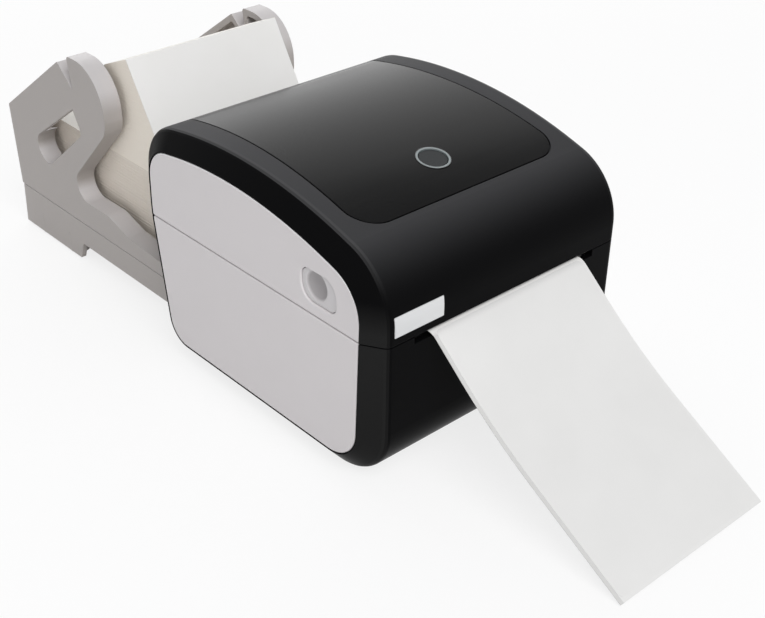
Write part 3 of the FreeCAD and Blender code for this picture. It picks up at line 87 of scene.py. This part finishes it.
class Finish:
    """The nodes of a material or of the world."""

    def __init__(self, owner):
        owner.use_nodes = True
        self.owner = owner
        self.tree = owner.node_tree
        self.tree.nodes.clear()

    def node(self, kind, settings=None, inputs=None, out=0):
        made = self.tree.nodes.new(kind)
        for key, value in (settings or {}).items():
            setattr(made, key, value)
        for key, value in (inputs or {}).items():
            socket = made.inputs[key]
            if isinstance(value, Wire):
                self.tree.links.new(value.socket, socket)
            elif socket.type == "RGBA":
                socket.default_value = (*value, 1)
            else:
                socket.default_value = value
        return Wire(self, made.outputs[out]) if made.outputs else None

    def math(self, operation, *values):
        return self.node("ShaderNodeMath", {"operation": operation}, dict(enumerate(values)))

    def vectors(self, operation, *values, out="Vector"):
        settings = {"operation": operation}
        return self.node("ShaderNodeVectorMath", settings, dict(enumerate(values)), out)

    def place(self):
        return self.node("ShaderNodeTexCoord", out="Object")

    def facing(self):
        return self.node("ShaderNodeTexCoord", out="Normal")

    def along(self, axis, vector):
        return self.node("ShaderNodeSeparateXYZ", None, {0: vector}, axis)

    def noise(self, scale, detail=2.0, rough=0.5, stretch=(1, 1, 1)):
        where = self.node(
            "ShaderNodeMapping", None, {"Vector": self.place(), "Scale": stretch}
        )
        return self.node(
            "ShaderNodeTexNoise",
            None,
            {"Vector": where, "Scale": scale, "Detail": detail, "Roughness": rough},
        )

    def grain(self, scale):
        return self.noise(scale, GRAIN_DETAIL, GRAIN_ROUGH)

    def clouds(self, scale=CLOUD_SCALE):
        return self.noise(scale, CLOUD_DETAIL)

    def blend(self, share, first, second):
        return self.node(
            "ShaderNodeMix",
            {"data_type": "RGBA"},
            {0: share, 6: first, 7: second},
            out=2,
        )

    def between(self, value, low, high, to_low=0.0, to_high=1.0):
        return self.node(
            "ShaderNodeMapRange",
            None,
            {0: value, 1: low, 2: high, 3: to_low, 4: to_high},
        )

    def grained_rough(self, fine, cloud, smoothest, roughest):
        """Roughness that follows the grain and, less, the clouds in it."""
        return self.between(fine + CLOUD_SHARE * cloud, *CLOUDED_SPAN, smoothest, roughest)

    def bump(self, height, depth, edge=None):
        """Raised grain, over edges that look rounded where their radius is given."""
        inputs = {"Height": height, "Distance": depth}
        if edge:
            inputs["Normal"] = self.node(
                "ShaderNodeBevel", {"samples": EDGE_SAMPLES}, {"Radius": edge}
            )
        return self.node("ShaderNodeBump", None, inputs)

    def seen(self):
        """One where the camera looks, straight, by a mirror or through a clear piece, else zero."""
        straight, mirrored, passed = (
            self.node("ShaderNodeLightPath", out=f"Is {way} Ray")
            for way in ("Camera", "Glossy", "Transmission")
        )
        return self.math("MINIMUM", straight + mirrored + passed, 1.0)

    def output(self, shader, kind="Material"):
        self.node(f"ShaderNodeOutput{kind}", None, {"Surface": shader})

    def surface(self, **inputs):
        named = {key.replace("_", " "): value for key, value in inputs.items()}
        self.output(self.node("ShaderNodeBsdfPrincipled", None, named))
        return self.owner


# Moulded plastic: how far its roughness spreads, and how far from a button its painted rim
# highlight starts
MOULD_SMOOTHER, MOULD_ROUGHER = 0.05, 0.06
BUTTON_CLEAR = (0.017, 0.02)


def moulded(
    name,
    colour,
    rough,
    grain=0.00045,
    depth=0.00001,
    specular=0.4,
    edge=0.0004,
    vary=0.06,
    upper=None,
    rise=(0.1, 0.4),
    clear_of=None,
):
    """Moulded plastic: a spark-eroded grain, faint flow marks and softened edges.

    Painted light: faces that look up turn to the paler upper colour, as if lit from above, except
    close round one piece.
    """
    finish = Finish(bpy.data.materials.new(name))
    fine = finish.grain(1 / grain)
    cloud = finish.clouds()
    dark = tuple(part * (1 - vary) for part in colour)
    light = tuple(min(1, part * (1 + vary)) for part in colour)
    tone = finish.blend(finish.between(cloud, *NOISE_SPAN), dark, light)
    # Painted light: the upper colour on faces that look up stands in for light from above
    if upper:
        share = finish.between(finish.along("Z", finish.facing()), *rise)
        # The painted highlight is kept off close round that piece
        if clear_of:
            low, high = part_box(clear_of)
            middle = (0, (low.y + high.y) / 2, (low.z + high.z) / 2)
            beside = finish.vectors("MULTIPLY", finish.place(), (0, 1, 1))
            away = finish.vectors("DISTANCE", beside, middle, out="Value")
            share = share * finish.between(away, *BUTTON_CLEAR)
        tone = finish.blend(share, tone, upper)
    return finish.surface(
        Base_Color=tone,
        Roughness=finish.grained_rough(
            fine, cloud, rough - MOULD_SMOOTHER, rough + MOULD_ROUGHER
        ),
        Specular_IOR_Level=specular,
        Normal=finish.bump(fine, depth, edge),
    )


# Black case: the parts of a face's direction, and the heights in metres, that set its tone and
# where its painted light falls
TOP_UPWARD = (0.2, 1.0)
TOP_HEIGHT = (0.095, 0.105)
BEVEL_SIDEWAYS = (0.25, 0.75)
CREASE_SIDEWAYS = (0.1, 0.3)
CORNER_AHEAD = (-0.5, -0.2)
CORNER_SIDEWAYS = (0.3, 0.75)
CORNER_HEIGHT = (0.09, 0.106)
FADING = (1.0, 0.0)
# How full the painted top light is and how far the clouds change it, and the roughness the top zone
# adds
TOP_LIGHT_SHARE, TOP_LIGHT_CLOUDED = 0.94, 0.12
CASE_ROUGH = (0.28, 0.36)
MATT_ROUGHER = 0.18


def case_black(name, steep, upper, crease_glint_tone, corner):
    """Black case moulding, deep black on its steep faces.

    It is rougher on top and painted paler there as if lit from above, with a painted glint along
    the lid's creases and a painted sheen that makes it a little paler at the front corners.
    """
    finish = Finish(bpy.data.materials.new(name))
    fine = finish.grain(CASE_GRAIN)
    cloud = finish.clouds()
    facing = finish.facing()
    sideways = finish.math("ABSOLUTE", finish.along("X", facing))
    ahead = finish.along("Y", facing)
    upward = finish.along("Z", facing)
    height = finish.along("Z", finish.place())
    level = finish.between(upward, *TOP_UPWARD) * finish.between(height, *TOP_HEIGHT)
    # Painted light: faces that look up near the top take the paler upper tone as if lit from above;
    # the same zone is also made rougher
    matt_and_painted_top_light = level * level * level * finish.between(sideways, *BEVEL_SIDEWAYS, *FADING)
    # Painted highlight: a paler glint painted along the lid's creases, where top meets bevel
    painted_crease_glint = matt_and_painted_top_light * finish.between(sideways, *CREASE_SIDEWAYS)
    # Painted reflection: the lower front corners are painted a little paler, as if catching light
    painted_corner_sheen = (
        finish.between(ahead, *CORNER_AHEAD, *FADING)
        * finish.between(sideways, *CORNER_SIDEWAYS)
        * finish.between(height, *CORNER_HEIGHT, *FADING)
    )
    tone = finish.blend(painted_corner_sheen, steep, corner)
    tone = finish.blend(matt_and_painted_top_light * (TOP_LIGHT_SHARE + TOP_LIGHT_CLOUDED * cloud), tone, upper)
    return finish.surface(
        Base_Color=finish.blend(painted_crease_glint, tone, crease_glint_tone),
        Roughness=finish.grained_rough(fine, cloud, *CASE_ROUGH) + MATT_ROUGHER * matt_and_painted_top_light,
        Specular_IOR_Level=0.02,
        Normal=finish.bump(fine, depth=0.00001, edge=0.0005),
    )


# Release buttons: how far the grain frays the painted scoop shade, and how far the outer face
# reaches inwards
SCOOP_FRAY = 0.0002
OUTER_SKIN = 0.0001
SCOOP_ROUGH = (0.36, 0.44)


def scooped(name, face, depth, deep, outer):
    """Moulded plastic with painted shade down in a scoop, darker by the depth from its outer face.
    """
    finish = Finish(bpy.data.materials.new(name))
    outward = finish.math("ABSOLUTE", finish.along("X", finish.place()))
    fine = finish.grain(CASE_GRAIN)
    # Painted shade: the scoop is painted darker the deeper it lies below the outer face
    share = finish.between(outward + SCOOP_FRAY * fine, face - depth, face - OUTER_SKIN)
    return finish.surface(
        Base_Color=finish.blend(share, deep, outer),
        Roughness=finish.between(fine, *NOISE_SPAN, *SCOOP_ROUGH),
        Specular_IOR_Level=0.3,
        Normal=finish.bump(fine, depth=0.00001, edge=0.0005),
    )


# Light ring: the depth of its top face, the painted gap shade's inner and outer bound, and their
# fraying
RING_FACE = 0.00001
GAP_SHADE_INNER, GAP_SHADE_OUTER = 0.0004, 0.0002
GAP_SHADE_FRAY = 0.0001
RING_ROUGH = (0.26, 0.34)


def light_guide(name, node, inward, colour, painted_gap_shade):
    """A pale light guide with painted shade round its outer edge for the gap at its rim, measured
    from its axis in its top face.
    """
    finish = Finish(bpy.data.materials.new(name))
    inward = Vector(inward)
    corners = [corner.co for corner in nodes[node].data.vertices]
    top = min(corner.dot(inward) for corner in corners)
    rim = [corner for corner in corners if corner.dot(inward) < top + RING_FACE]
    middle = tuple((min(part) + max(part)) / 2 for part in zip(*rim))
    outer = max(corner.x for corner in rim)
    reach = finish.vectors("SUBTRACT", finish.place(), middle)
    across = finish.vectors("CROSS_PRODUCT", reach, tuple(inward))
    away = finish.vectors("LENGTH", across, out="Value")
    fine = finish.noise(FINE_GRAIN)
    # Painted shade: the ring's outer edge is painted deep black as the shaded gap round it
    share = finish.between(away + GAP_SHADE_FRAY * fine, outer - GAP_SHADE_INNER, outer - GAP_SHADE_OUTER)
    return finish.surface(
        Base_Color=finish.blend(share, colour, painted_gap_shade),
        Roughness=finish.between(fine, *NOISE_SPAN, *RING_ROUGH),
        Specular_IOR_Level=0.3,
        Normal=finish.bump(fine, depth=0.000002, edge=0.0002),
    )


# Metal: its drawn lines and smudges, and how far its roughness spreads down and up
LINE_SCALE = 900.0
SMUDGE_SCALE = 40.0
SMUDGE_SPAN = (0.35, 0.7)
SMUDGE_TONE = 0.9
WEAR_SPAN = (0.7, 1.3)
METAL_SMOOTHER, METAL_ROUGHER = 0.08, 0.1


def brushed(name, colour, rough, stretch):
    """Rolled or ground metal with fine drawn lines."""
    finish = Finish(bpy.data.materials.new(name))
    lines = finish.noise(LINE_SCALE, stretch=stretch)
    smudge = finish.clouds(SMUDGE_SCALE)
    smudged = tuple(part * SMUDGE_TONE for part in colour)
    return finish.surface(
        Base_Color=finish.blend(finish.between(smudge, *SMUDGE_SPAN), smudged, colour),
        Metallic=1.0,
        Roughness=finish.between(
            lines + smudge, *WEAR_SPAN, rough - METAL_SMOOTHER, rough + METAL_ROUGHER
        ),
        Normal=finish.bump(lines, depth=0.000006, edge=0.0002),
    )


# Paper: its fibres and clouds, and how far the backing strip and a label's start take to change
FIBRE_ROUGH = 0.65
FIBRE_SHARE = 0.3
PAPER_CLOUDS = 35.0
PAPER_SPAN = (0.45, 0.85)
PAPER_ROUGH = (0.5, 0.62)
STRIP_FADE = 0.0002
START_FADE = 0.002


def paper(name, colour, shade, label=None, beside=None, backing=None):
    """Coated label paper: faint fibre clouding and a soft sheen.

    From the start of a label on, it takes another tone, and a strip of backing shows at the left.
    """
    finish = Finish(bpy.data.materials.new(name))
    fibre = finish.noise(FINE_GRAIN, GRAIN_DETAIL, FIBRE_ROUGH)
    cloud = finish.clouds(PAPER_CLOUDS)
    share = finish.between(cloud + FIBRE_SHARE * fibre, *PAPER_SPAN)
    tone = finish.blend(share, shade, colour)
    if label:
        low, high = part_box(label)
        across = finish.along("X", finish.place())
        lengthwise = finish.along("Y", finish.place())
        strip = finish.between(across, low.x, low.x + STRIP_FADE)
        start = finish.between(lengthwise, high.y - START_FADE, high.y)
        tone = finish.blend(start, finish.blend(strip, backing, beside), tone)
    return finish.surface(
        Base_Color=tone,
        Roughness=finish.between(fibre, *NOISE_SPAN, *PAPER_ROUGH),
        Specular_IOR_Level=0.3,
        Normal=finish.bump(fibre, depth=0.000006),
    )


# Sheet edges: how the ruling turns with height and wanders, and where a face counts as flat
RULE_TURN = 5200.0
RULE_WANDER = 9.0
RULE_SPAN = (-0.6, 1.0)
WANDER_SCALE = 60.0
WANDER_STRETCH = (1, 1, 8)
FLAT_UPWARD = (0.6, 0.9)
SHEET_ROUGH = (0.6, 0.75)


def sheet_edges(name, face, edge, line):
    """A stack of thin sheets: plain on its flat faces, finely ruled where edges show."""
    finish = Finish(bpy.data.materials.new(name))
    height = finish.along("Z", finish.place())
    wander = finish.noise(WANDER_SCALE, stretch=WANDER_STRETCH)
    rule = finish.math("SINE", height * RULE_TURN + wander * RULE_WANDER)
    flat = finish.between(finish.along("Z", finish.facing()), *FLAT_UPWARD)
    ruled = finish.blend(finish.between(rule, *RULE_SPAN), line, edge)
    return finish.surface(
        Base_Color=finish.blend(flat, ruled, face),
        Roughness=finish.between(wander, *NOISE_SPAN, *SHEET_ROUGH),
        Specular_IOR_Level=0.2,
        Normal=finish.bump(rule * (1 - flat), depth=0.00005),
    )


# The finish of each piece
PANEL_GREY = (0.69, 0.66, 0.666)
# Painted highlight that the upper panels' upward edges take
RIM_HIGHLIGHT = (0.95, 0.94, 0.94)
LABEL_WHITE = (0.75, 0.745, 0.735)
DEEP_BLACK = (0.003, 0.003, 0.0033)
PRESS_AXIS = next(
    joint["axis"] for joint in behaviour["joints"] if joint["name"] == "feed_press"
)
FINISHES = {
    "shell": case_black(
        "shell_black",
        steep=DEEP_BLACK,
        # Painted light: a paler top, a glint along the creases and a paler sheen at the front
        # corners
        upper=(0.052, 0.052, 0.0545),
        crease_glint_tone=(0.11, 0.11, 0.112),
        corner=(0.016, 0.016, 0.016),
    ),
    "gloss": moulded(
        "gloss_black", (0.0035, 0.0035, 0.0037), rough=0.22, depth=0.000002, specular=0.05
    ),
    "panel": moulded("panel_grey", PANEL_GREY, rough=0.5, vary=0.012, edge=0.0005),
    "release": scooped(
        "release_grey",
        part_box("right_release_button")[1].x,
        depth=0.0011,
        # Painted shade down in the scoop
        deep=(0.37, 0.352, 0.356),
        outer=(0.62, 0.6, 0.606),
    ),
    "cap": moulded(
        "cap_black", (0.012, 0.0145, 0.016), rough=0.3, depth=0.000004, specular=0.1
    ),
    "ring": light_guide(
        # Painted shade in deep black at the ring's outer edge
        "ring_grey", "light_ring", PRESS_AXIS, colour=(0.22, 0.25, 0.255), painted_gap_shade=DEEP_BLACK
    ),
    # Painted light and shade: the stand's upward faces take a paler colour and its other faces a
    # darker one, as if lit from above
    "stand": moulded(
        "stand_grey",
        (0.39, 0.36, 0.34),
        rough=0.52,
        vary=0.02,
        edge=0.0006,
        upper=(0.55, 0.527, 0.527),
        rise=(-0.1, 0.5),
    ),
    "liner_paper": paper(
        "liner_sheet",
        (0.9, 0.89, 0.875),
        shade=(0.88, 0.87, 0.85),
        label="front_label",
        beside=LABEL_WHITE,
        backing=(0.62, 0.615, 0.605),
    ),
    "label_paper": paper("label_sheet", LABEL_WHITE, shade=(0.73, 0.725, 0.715)),
    "stack_paper": sheet_edges(
        "folded_sheets",
        face=(0.78, 0.76, 0.72),
        edge=(0.82, 0.755, 0.675),
        line=(0.79, 0.72, 0.64),
    ),
    "inner": moulded("inner_black", (0.02, 0.021, 0.022), rough=0.55),
    "rubber": moulded("foot_rubber", (0.02, 0.02, 0.02), rough=0.75, depth=0.00003),
    "platen_rubber": moulded("roller_rubber", (0.03, 0.03, 0.032), rough=0.6, grain=0.0003),
    "steel": brushed("bright_steel", (0.62, 0.61, 0.6), rough=0.28, stretch=(1, 30, 30)),
    "zinc": brushed("plated_sheet", (0.6, 0.61, 0.63), rough=0.38, stretch=(30, 1, 4)),
    "alloy": brushed("drawn_alloy", (0.72, 0.72, 0.73), rough=0.35, stretch=(1, 40, 40)),
    "ceramic": moulded("glazed_strip", (0.33, 0.28, 0.2), rough=0.2, depth=0.000002),
    "board": moulded("green_board", (0.01, 0.10, 0.045), rough=0.4, grain=0.001),
    "socket": brushed("tinned_can", (0.66, 0.66, 0.67), rough=0.3, stretch=(8, 1, 8)),
    "gear": moulded("gear_white", (0.74, 0.73, 0.68), rough=0.42, vary=0.03),
    "rocker": moulded("rocker_black", (0.012, 0.012, 0.013), rough=0.25, depth=0.000003),
}
NODE_SLOT = {entry["node"]: entry["material_slot"] for entry in frame["record"]["subparts"]}
NODE_BODY = {node: body for body, group in behaviour["bodies"].items() for node in group}
for name, slot in NODE_SLOT.items():
    nodes[name].data.materials.clear()
    nodes[name].data.materials.append(FINISHES[slot])
# Painted light: the raised folds take paler copies of the stack's sheet colours, as if lit, while
# the stack below keeps the darker ones
nodes["fanfold_folds"].data.materials[0] = sheet_edges(
    "raised_sheets_painted_light",
    face=(0.84, 0.82, 0.78),
    edge=(0.92, 0.86, 0.77),
    line=(0.9, 0.835, 0.745),
)
# Painted highlight: the upper panels' upward faces and edges are painted near white, except round
# the release button
highlighted_panel = moulded(
    "grey_painted_rim_highlight",
    PANEL_GREY,
    rough=0.5,
    vary=0.012,
    edge=0.0002,
    upper=RIM_HIGHLIGHT,
    clear_of="right_release_button",
)
for side in ("left", "right"):
    nodes[f"{side}_upper_panel"].data.materials[0] = highlighted_panel


# Modelling by hand: angles in radians, lengths in metres
SHARP_FROM = math.radians(30)
SMOOTH_BELOW = math.radians(40)
FLAT_BELOW = math.radians(0.3)
MERGED_BELOW = 0.000002
SAME_PLACE = 0.00001


def alone(thing):
    """Selects one piece and nothing else."""
    bpy.ops.object.select_all(action="DESELECT")
    thing.select_set(True)
    bpy.context.view_layer.objects.active = thing


def edit(thing):
    """Opens one piece for shaping, with nothing selected in it."""
    alone(thing)
    bpy.ops.object.mode_set(mode="EDIT")
    bpy.ops.mesh.select_all(action="DESELECT")


def done():
    bpy.ops.object.mode_set(mode="OBJECT")


def pick(thing, mode, test):
    """Selects the corners or edges whose middle passes a test."""
    bpy.ops.mesh.select_mode(type=mode)
    bpy.ops.mesh.select_all(action="DESELECT")
    done()
    corners = thing.data.vertices
    if mode == "VERT":
        for corner in corners:
            corner.select = test(corner.co)
    else:
        for edge in thing.data.edges:
            first, second = (corners[index].co for index in edge.vertices)
            edge.select = test((first + second) / 2)
    bpy.ops.object.mode_set(mode="EDIT")


def cube(name, low, high):
    """A box between two corners, at its size and place, with its place in its mesh."""
    low, high = Vector(low), Vector(high)
    bpy.ops.object.select_all(action="DESELECT")
    bpy.ops.mesh.primitive_cube_add(size=1, location=(low + high) / 2)
    made = bpy.context.object
    made.name = name
    made.dimensions = high - low
    bpy.ops.object.transform_apply(location=True, rotation=True, scale=True)
    return made


def eased(thing, width, segments=2):
    """Rounds all sharp edges of a piece and shades it smooth between them."""
    alone(thing)
    easing = thing.modifiers.new("easing", "BEVEL")
    easing.width = width
    easing.segments = segments
    easing.limit_method = "ANGLE"
    easing.angle_limit = SHARP_FROM
    bpy.ops.object.modifier_apply(modifier="easing")
    bpy.ops.object.shade_smooth_by_angle(angle=SMOOTH_BELOW)
    flats = thing.modifiers.new("flats", "WEIGHTED_NORMAL")
    flats.mode = "FACE_AREA"
    flats.keep_sharp = True
    bpy.ops.object.modifier_apply(modifier="flats")


def soften(name, width, segments=2):
    """Stands a copy with rounded edges in place of a moulded piece."""
    alone(nodes[name])
    bpy.ops.object.duplicate()
    piece = bpy.context.object
    piece.name = name + "_eased"
    for key in list(piece.keys()):
        del piece[key]
    edit(piece)
    bpy.ops.mesh.select_all(action="SELECT")
    bpy.ops.mesh.customdata_custom_splitnormals_clear()
    bpy.ops.mesh.remove_doubles(threshold=MERGED_BELOW)
    bpy.ops.mesh.dissolve_limited(angle_limit=FLAT_BELOW)
    done()
    eased(piece, width, segments)
    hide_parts(name)
    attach(piece, NODE_BODY[name])


for side in ("left", "right"):
    soften(f"{side}_upper_panel", width=0.0008, segments=3)
    soften(f"{side}_lower_panel", width=0.0008, segments=3)
    soften(f"{side}_release_button", width=0.0006, segments=3)
    soften(f"stand_{side}_plate", width=0.0008)
soften("stand_tray", width=0.0005)
soften("top_panel", width=0.0003, segments=3)
soften("feed_button", width=0.0004, segments=3)


# Fan-fold pages: thin folded sheets, each with rounded folds at its ends
PAGES = 60
FOLD_SHARE = 0.3
FOLD_SEGMENTS = 3
# How far the pages lie aside and back, and how fast that turns from page to page
ASIDE, ASIDE_TURN = 0.0001, 2.7
SWAY, SWAY_TURN = 0.00012, 0.31
BACK, BACK_TURN = 0.0002, 1.9
stack_low, stack_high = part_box("fanfold_stack")
stack_middle = (stack_low.y + stack_high.y) / 2
stack_depth = stack_high.y - stack_low.y
page_thick = (stack_high.z - stack_low.z) / PAGES


def at_fold(middle):
    """Whether an edge runs across the page at one of its ends."""
    from_end = abs(middle.y - stack_middle) * 2 - stack_depth
    return abs(from_end) < SAME_PLACE and abs(middle.x) < SAME_PLACE


page = cube("fanfold_page", stack_low, (stack_high.x, stack_high.y, stack_low.z + page_thick))
edit(page)
pick(page, "EDGE", at_fold)
bpy.ops.mesh.bevel(offset=page_thick * FOLD_SHARE, segments=FOLD_SEGMENTS)
done()
pages = [page]
for step in range(1, PAGES):
    alone(page)
    bpy.ops.object.duplicate()
    bpy.ops.transform.translate(
        value=(
            ASIDE * math.sin(step * ASIDE_TURN) + SWAY * math.sin(step * SWAY_TURN),
            BACK * math.sin(step * BACK_TURN),
            step * page_thick,
        )
    )
    pages.append(bpy.context.object)
alone(page)
for sheet in pages:
    sheet.select_set(True)
bpy.ops.object.join()
bpy.ops.object.transform_apply(location=True, rotation=True, scale=True)
bpy.ops.object.shade_smooth_by_angle(angle=SMOOTH_BELOW)
page.name = "fanfold_pages"
page.data.materials.append(FINISHES["stack_paper"])
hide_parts("fanfold_stack")
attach(page, "base")


# Bare plate on the lid's front, following its lean and its curve
FRONT_LEAN = 0.0195
FRONT_BEND = 0.0934
FRONT_RADIUS = 0.0355
PLATE_LEFT, PLATE_RIGHT = -0.0740, -0.0437
PLATE_LOW, PLATE_HIGH = 0.0886, 0.0991
PLATE_THICK = 0.0006
PLATE_ROWS = 5
PLATE_EDGE = 0.00015


def lid_front_at(height):
    """How far back the lid's front surface is: leaning below the bend, round above it."""
    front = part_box("lid_shell")[0].y
    lean = FRONT_LEAN * max(0.0, FRONT_BEND - height)
    above = max(0.0, height - FRONT_BEND)
    return front + lean + FRONT_RADIUS - math.sqrt(FRONT_RADIUS**2 - above**2)


plate = cube("bare_plate", (PLATE_LEFT, -PLATE_THICK, PLATE_LOW), (PLATE_RIGHT, 0, PLATE_HIGH))
rows = [PLATE_LOW + row / PLATE_ROWS * (PLATE_HIGH - PLATE_LOW) for row in range(PLATE_ROWS + 1)]
edit(plate)
for height in rows[1:-1]:
    bpy.ops.mesh.select_all(action="SELECT")
    bpy.ops.mesh.bisect(plane_co=(0, 0, height), plane_no=(0, 0, 1))
for height in rows:
    pick(plate, "VERT", lambda middle: abs(middle.z - height) < SAME_PLACE)
    bpy.ops.transform.translate(value=(0, lid_front_at(height), 0))
done()
eased(plate, PLATE_EDGE)
plate.data.materials.append(
    moulded("plate_pale", (0.66, 0.665, 0.67), rough=0.35, depth=0.000002, vary=0.01)
)
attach(plate, "lid")


# Camera at the photograph's viewing angle
IMAGE_WIDTH = 765
FOCAL_PIXELS = 1317.34
SENSOR = 36.0
CAMERA_PLACE = (-0.4061, -0.48895, 0.4106)
CAMERA_RIGHT = Vector((0.7474, -0.6644, 0.0))
CAMERA_UP = Vector((0.3502, 0.3940, 0.8498))
CAMERA_AHEAD = Vector((0.5646, 0.6351, -0.5271))
camera_data = bpy.data.cameras.new("camera")
camera_data.sensor_width = SENSOR
camera_data.lens = FOCAL_PIXELS * SENSOR / IMAGE_WIDTH
camera_data.clip_start = 0.05
camera_data.clip_end = 20
camera = bpy.data.objects.new("camera", camera_data)
bpy.context.scene.collection.objects.link(camera)
turn = Matrix((CAMERA_RIGHT, CAMERA_UP, -CAMERA_AHEAD)).transposed()
camera.matrix_world = Matrix.Translation(CAMERA_PLACE) @ turn.to_4x4()
bpy.context.scene.camera = camera


# Pale floor that keeps a faint shadow near the pieces and shows white to the camera further out
FLOOR_SIZE = 12
FLOOR_DROP = 0.0003
SHADOW_REACH = (0.4, 1.4)
WHITE_SHARE = (0.8, 1.0)
bpy.ops.object.select_all(action="DESELECT")
bpy.ops.mesh.primitive_plane_add(size=FLOOR_SIZE, location=(0, 0, -FLOOR_DROP))
floor = bpy.context.object
floor.name = "floor"
pale = Finish(bpy.data.materials.new("pale_floor"))
lit = pale.node(
    "ShaderNodeBsdfPrincipled",
    None,
    {"Base Color": (0.92, 0.92, 0.92), "Roughness": 0.9, "Specular IOR Level": 0.1},
)
glow = pale.node("ShaderNodeEmission", None, {"Color": (1, 1, 1), "Strength": 1.0})
reach = pale.vectors("LENGTH", pale.place(), out="Value")
share = pale.seen() * pale.between(reach, *SHADOW_REACH, *WHITE_SHARE)
pale.output(pale.node("ShaderNodeMixShader", None, {0: share, 1: lit, 2: glow}))
floor.data.materials.append(pale.owner)


# Soft studio light
def lamp(name, place, target, size, power):
    data = bpy.data.lights.new(name, "AREA")
    data.shape = "SQUARE"
    data.size = size
    data.energy = power
    made = bpy.data.objects.new(name, data)
    bpy.context.scene.collection.objects.link(made)
    aim = (Vector(target) - Vector(place)).to_track_quat("-Z", "Y")
    made.matrix_world = Matrix.Translation(place) @ aim.to_matrix().to_4x4()


lamp("key_light", place=(-0.6, -1.5, 1.7), target=(0, 0, 0), size=1.4, power=36)
lamp("side_light", place=(-1.9, 0.1, 0.9), target=(0, 0, 0.05), size=1.2, power=1)
lamp("back_light", place=(0.3, 2.2, 1.0), target=(0, 0, 0.1), size=1.6, power=12)
lamp("low_light", place=(1.5, 1.7, 1.0), target=(0, 0, 0.1), size=2.0, power=20)

studio = Finish(bpy.data.worlds.new("studio"))
bpy.context.scene.world = studio.owner
room = studio.node("ShaderNodeBackground", None, {"Color": (0.97, 0.98, 1), "Strength": 0.36})
white = studio.node("ShaderNodeBackground", None, {"Color": (1, 1, 1), "Strength": 1.0})
shown = studio.node("ShaderNodeMixShader", None, {0: studio.seen(), 1: room, 2: white})
studio.output(shown, "World")

bpy.context.scene.view_settings.view_transform = "Standard"
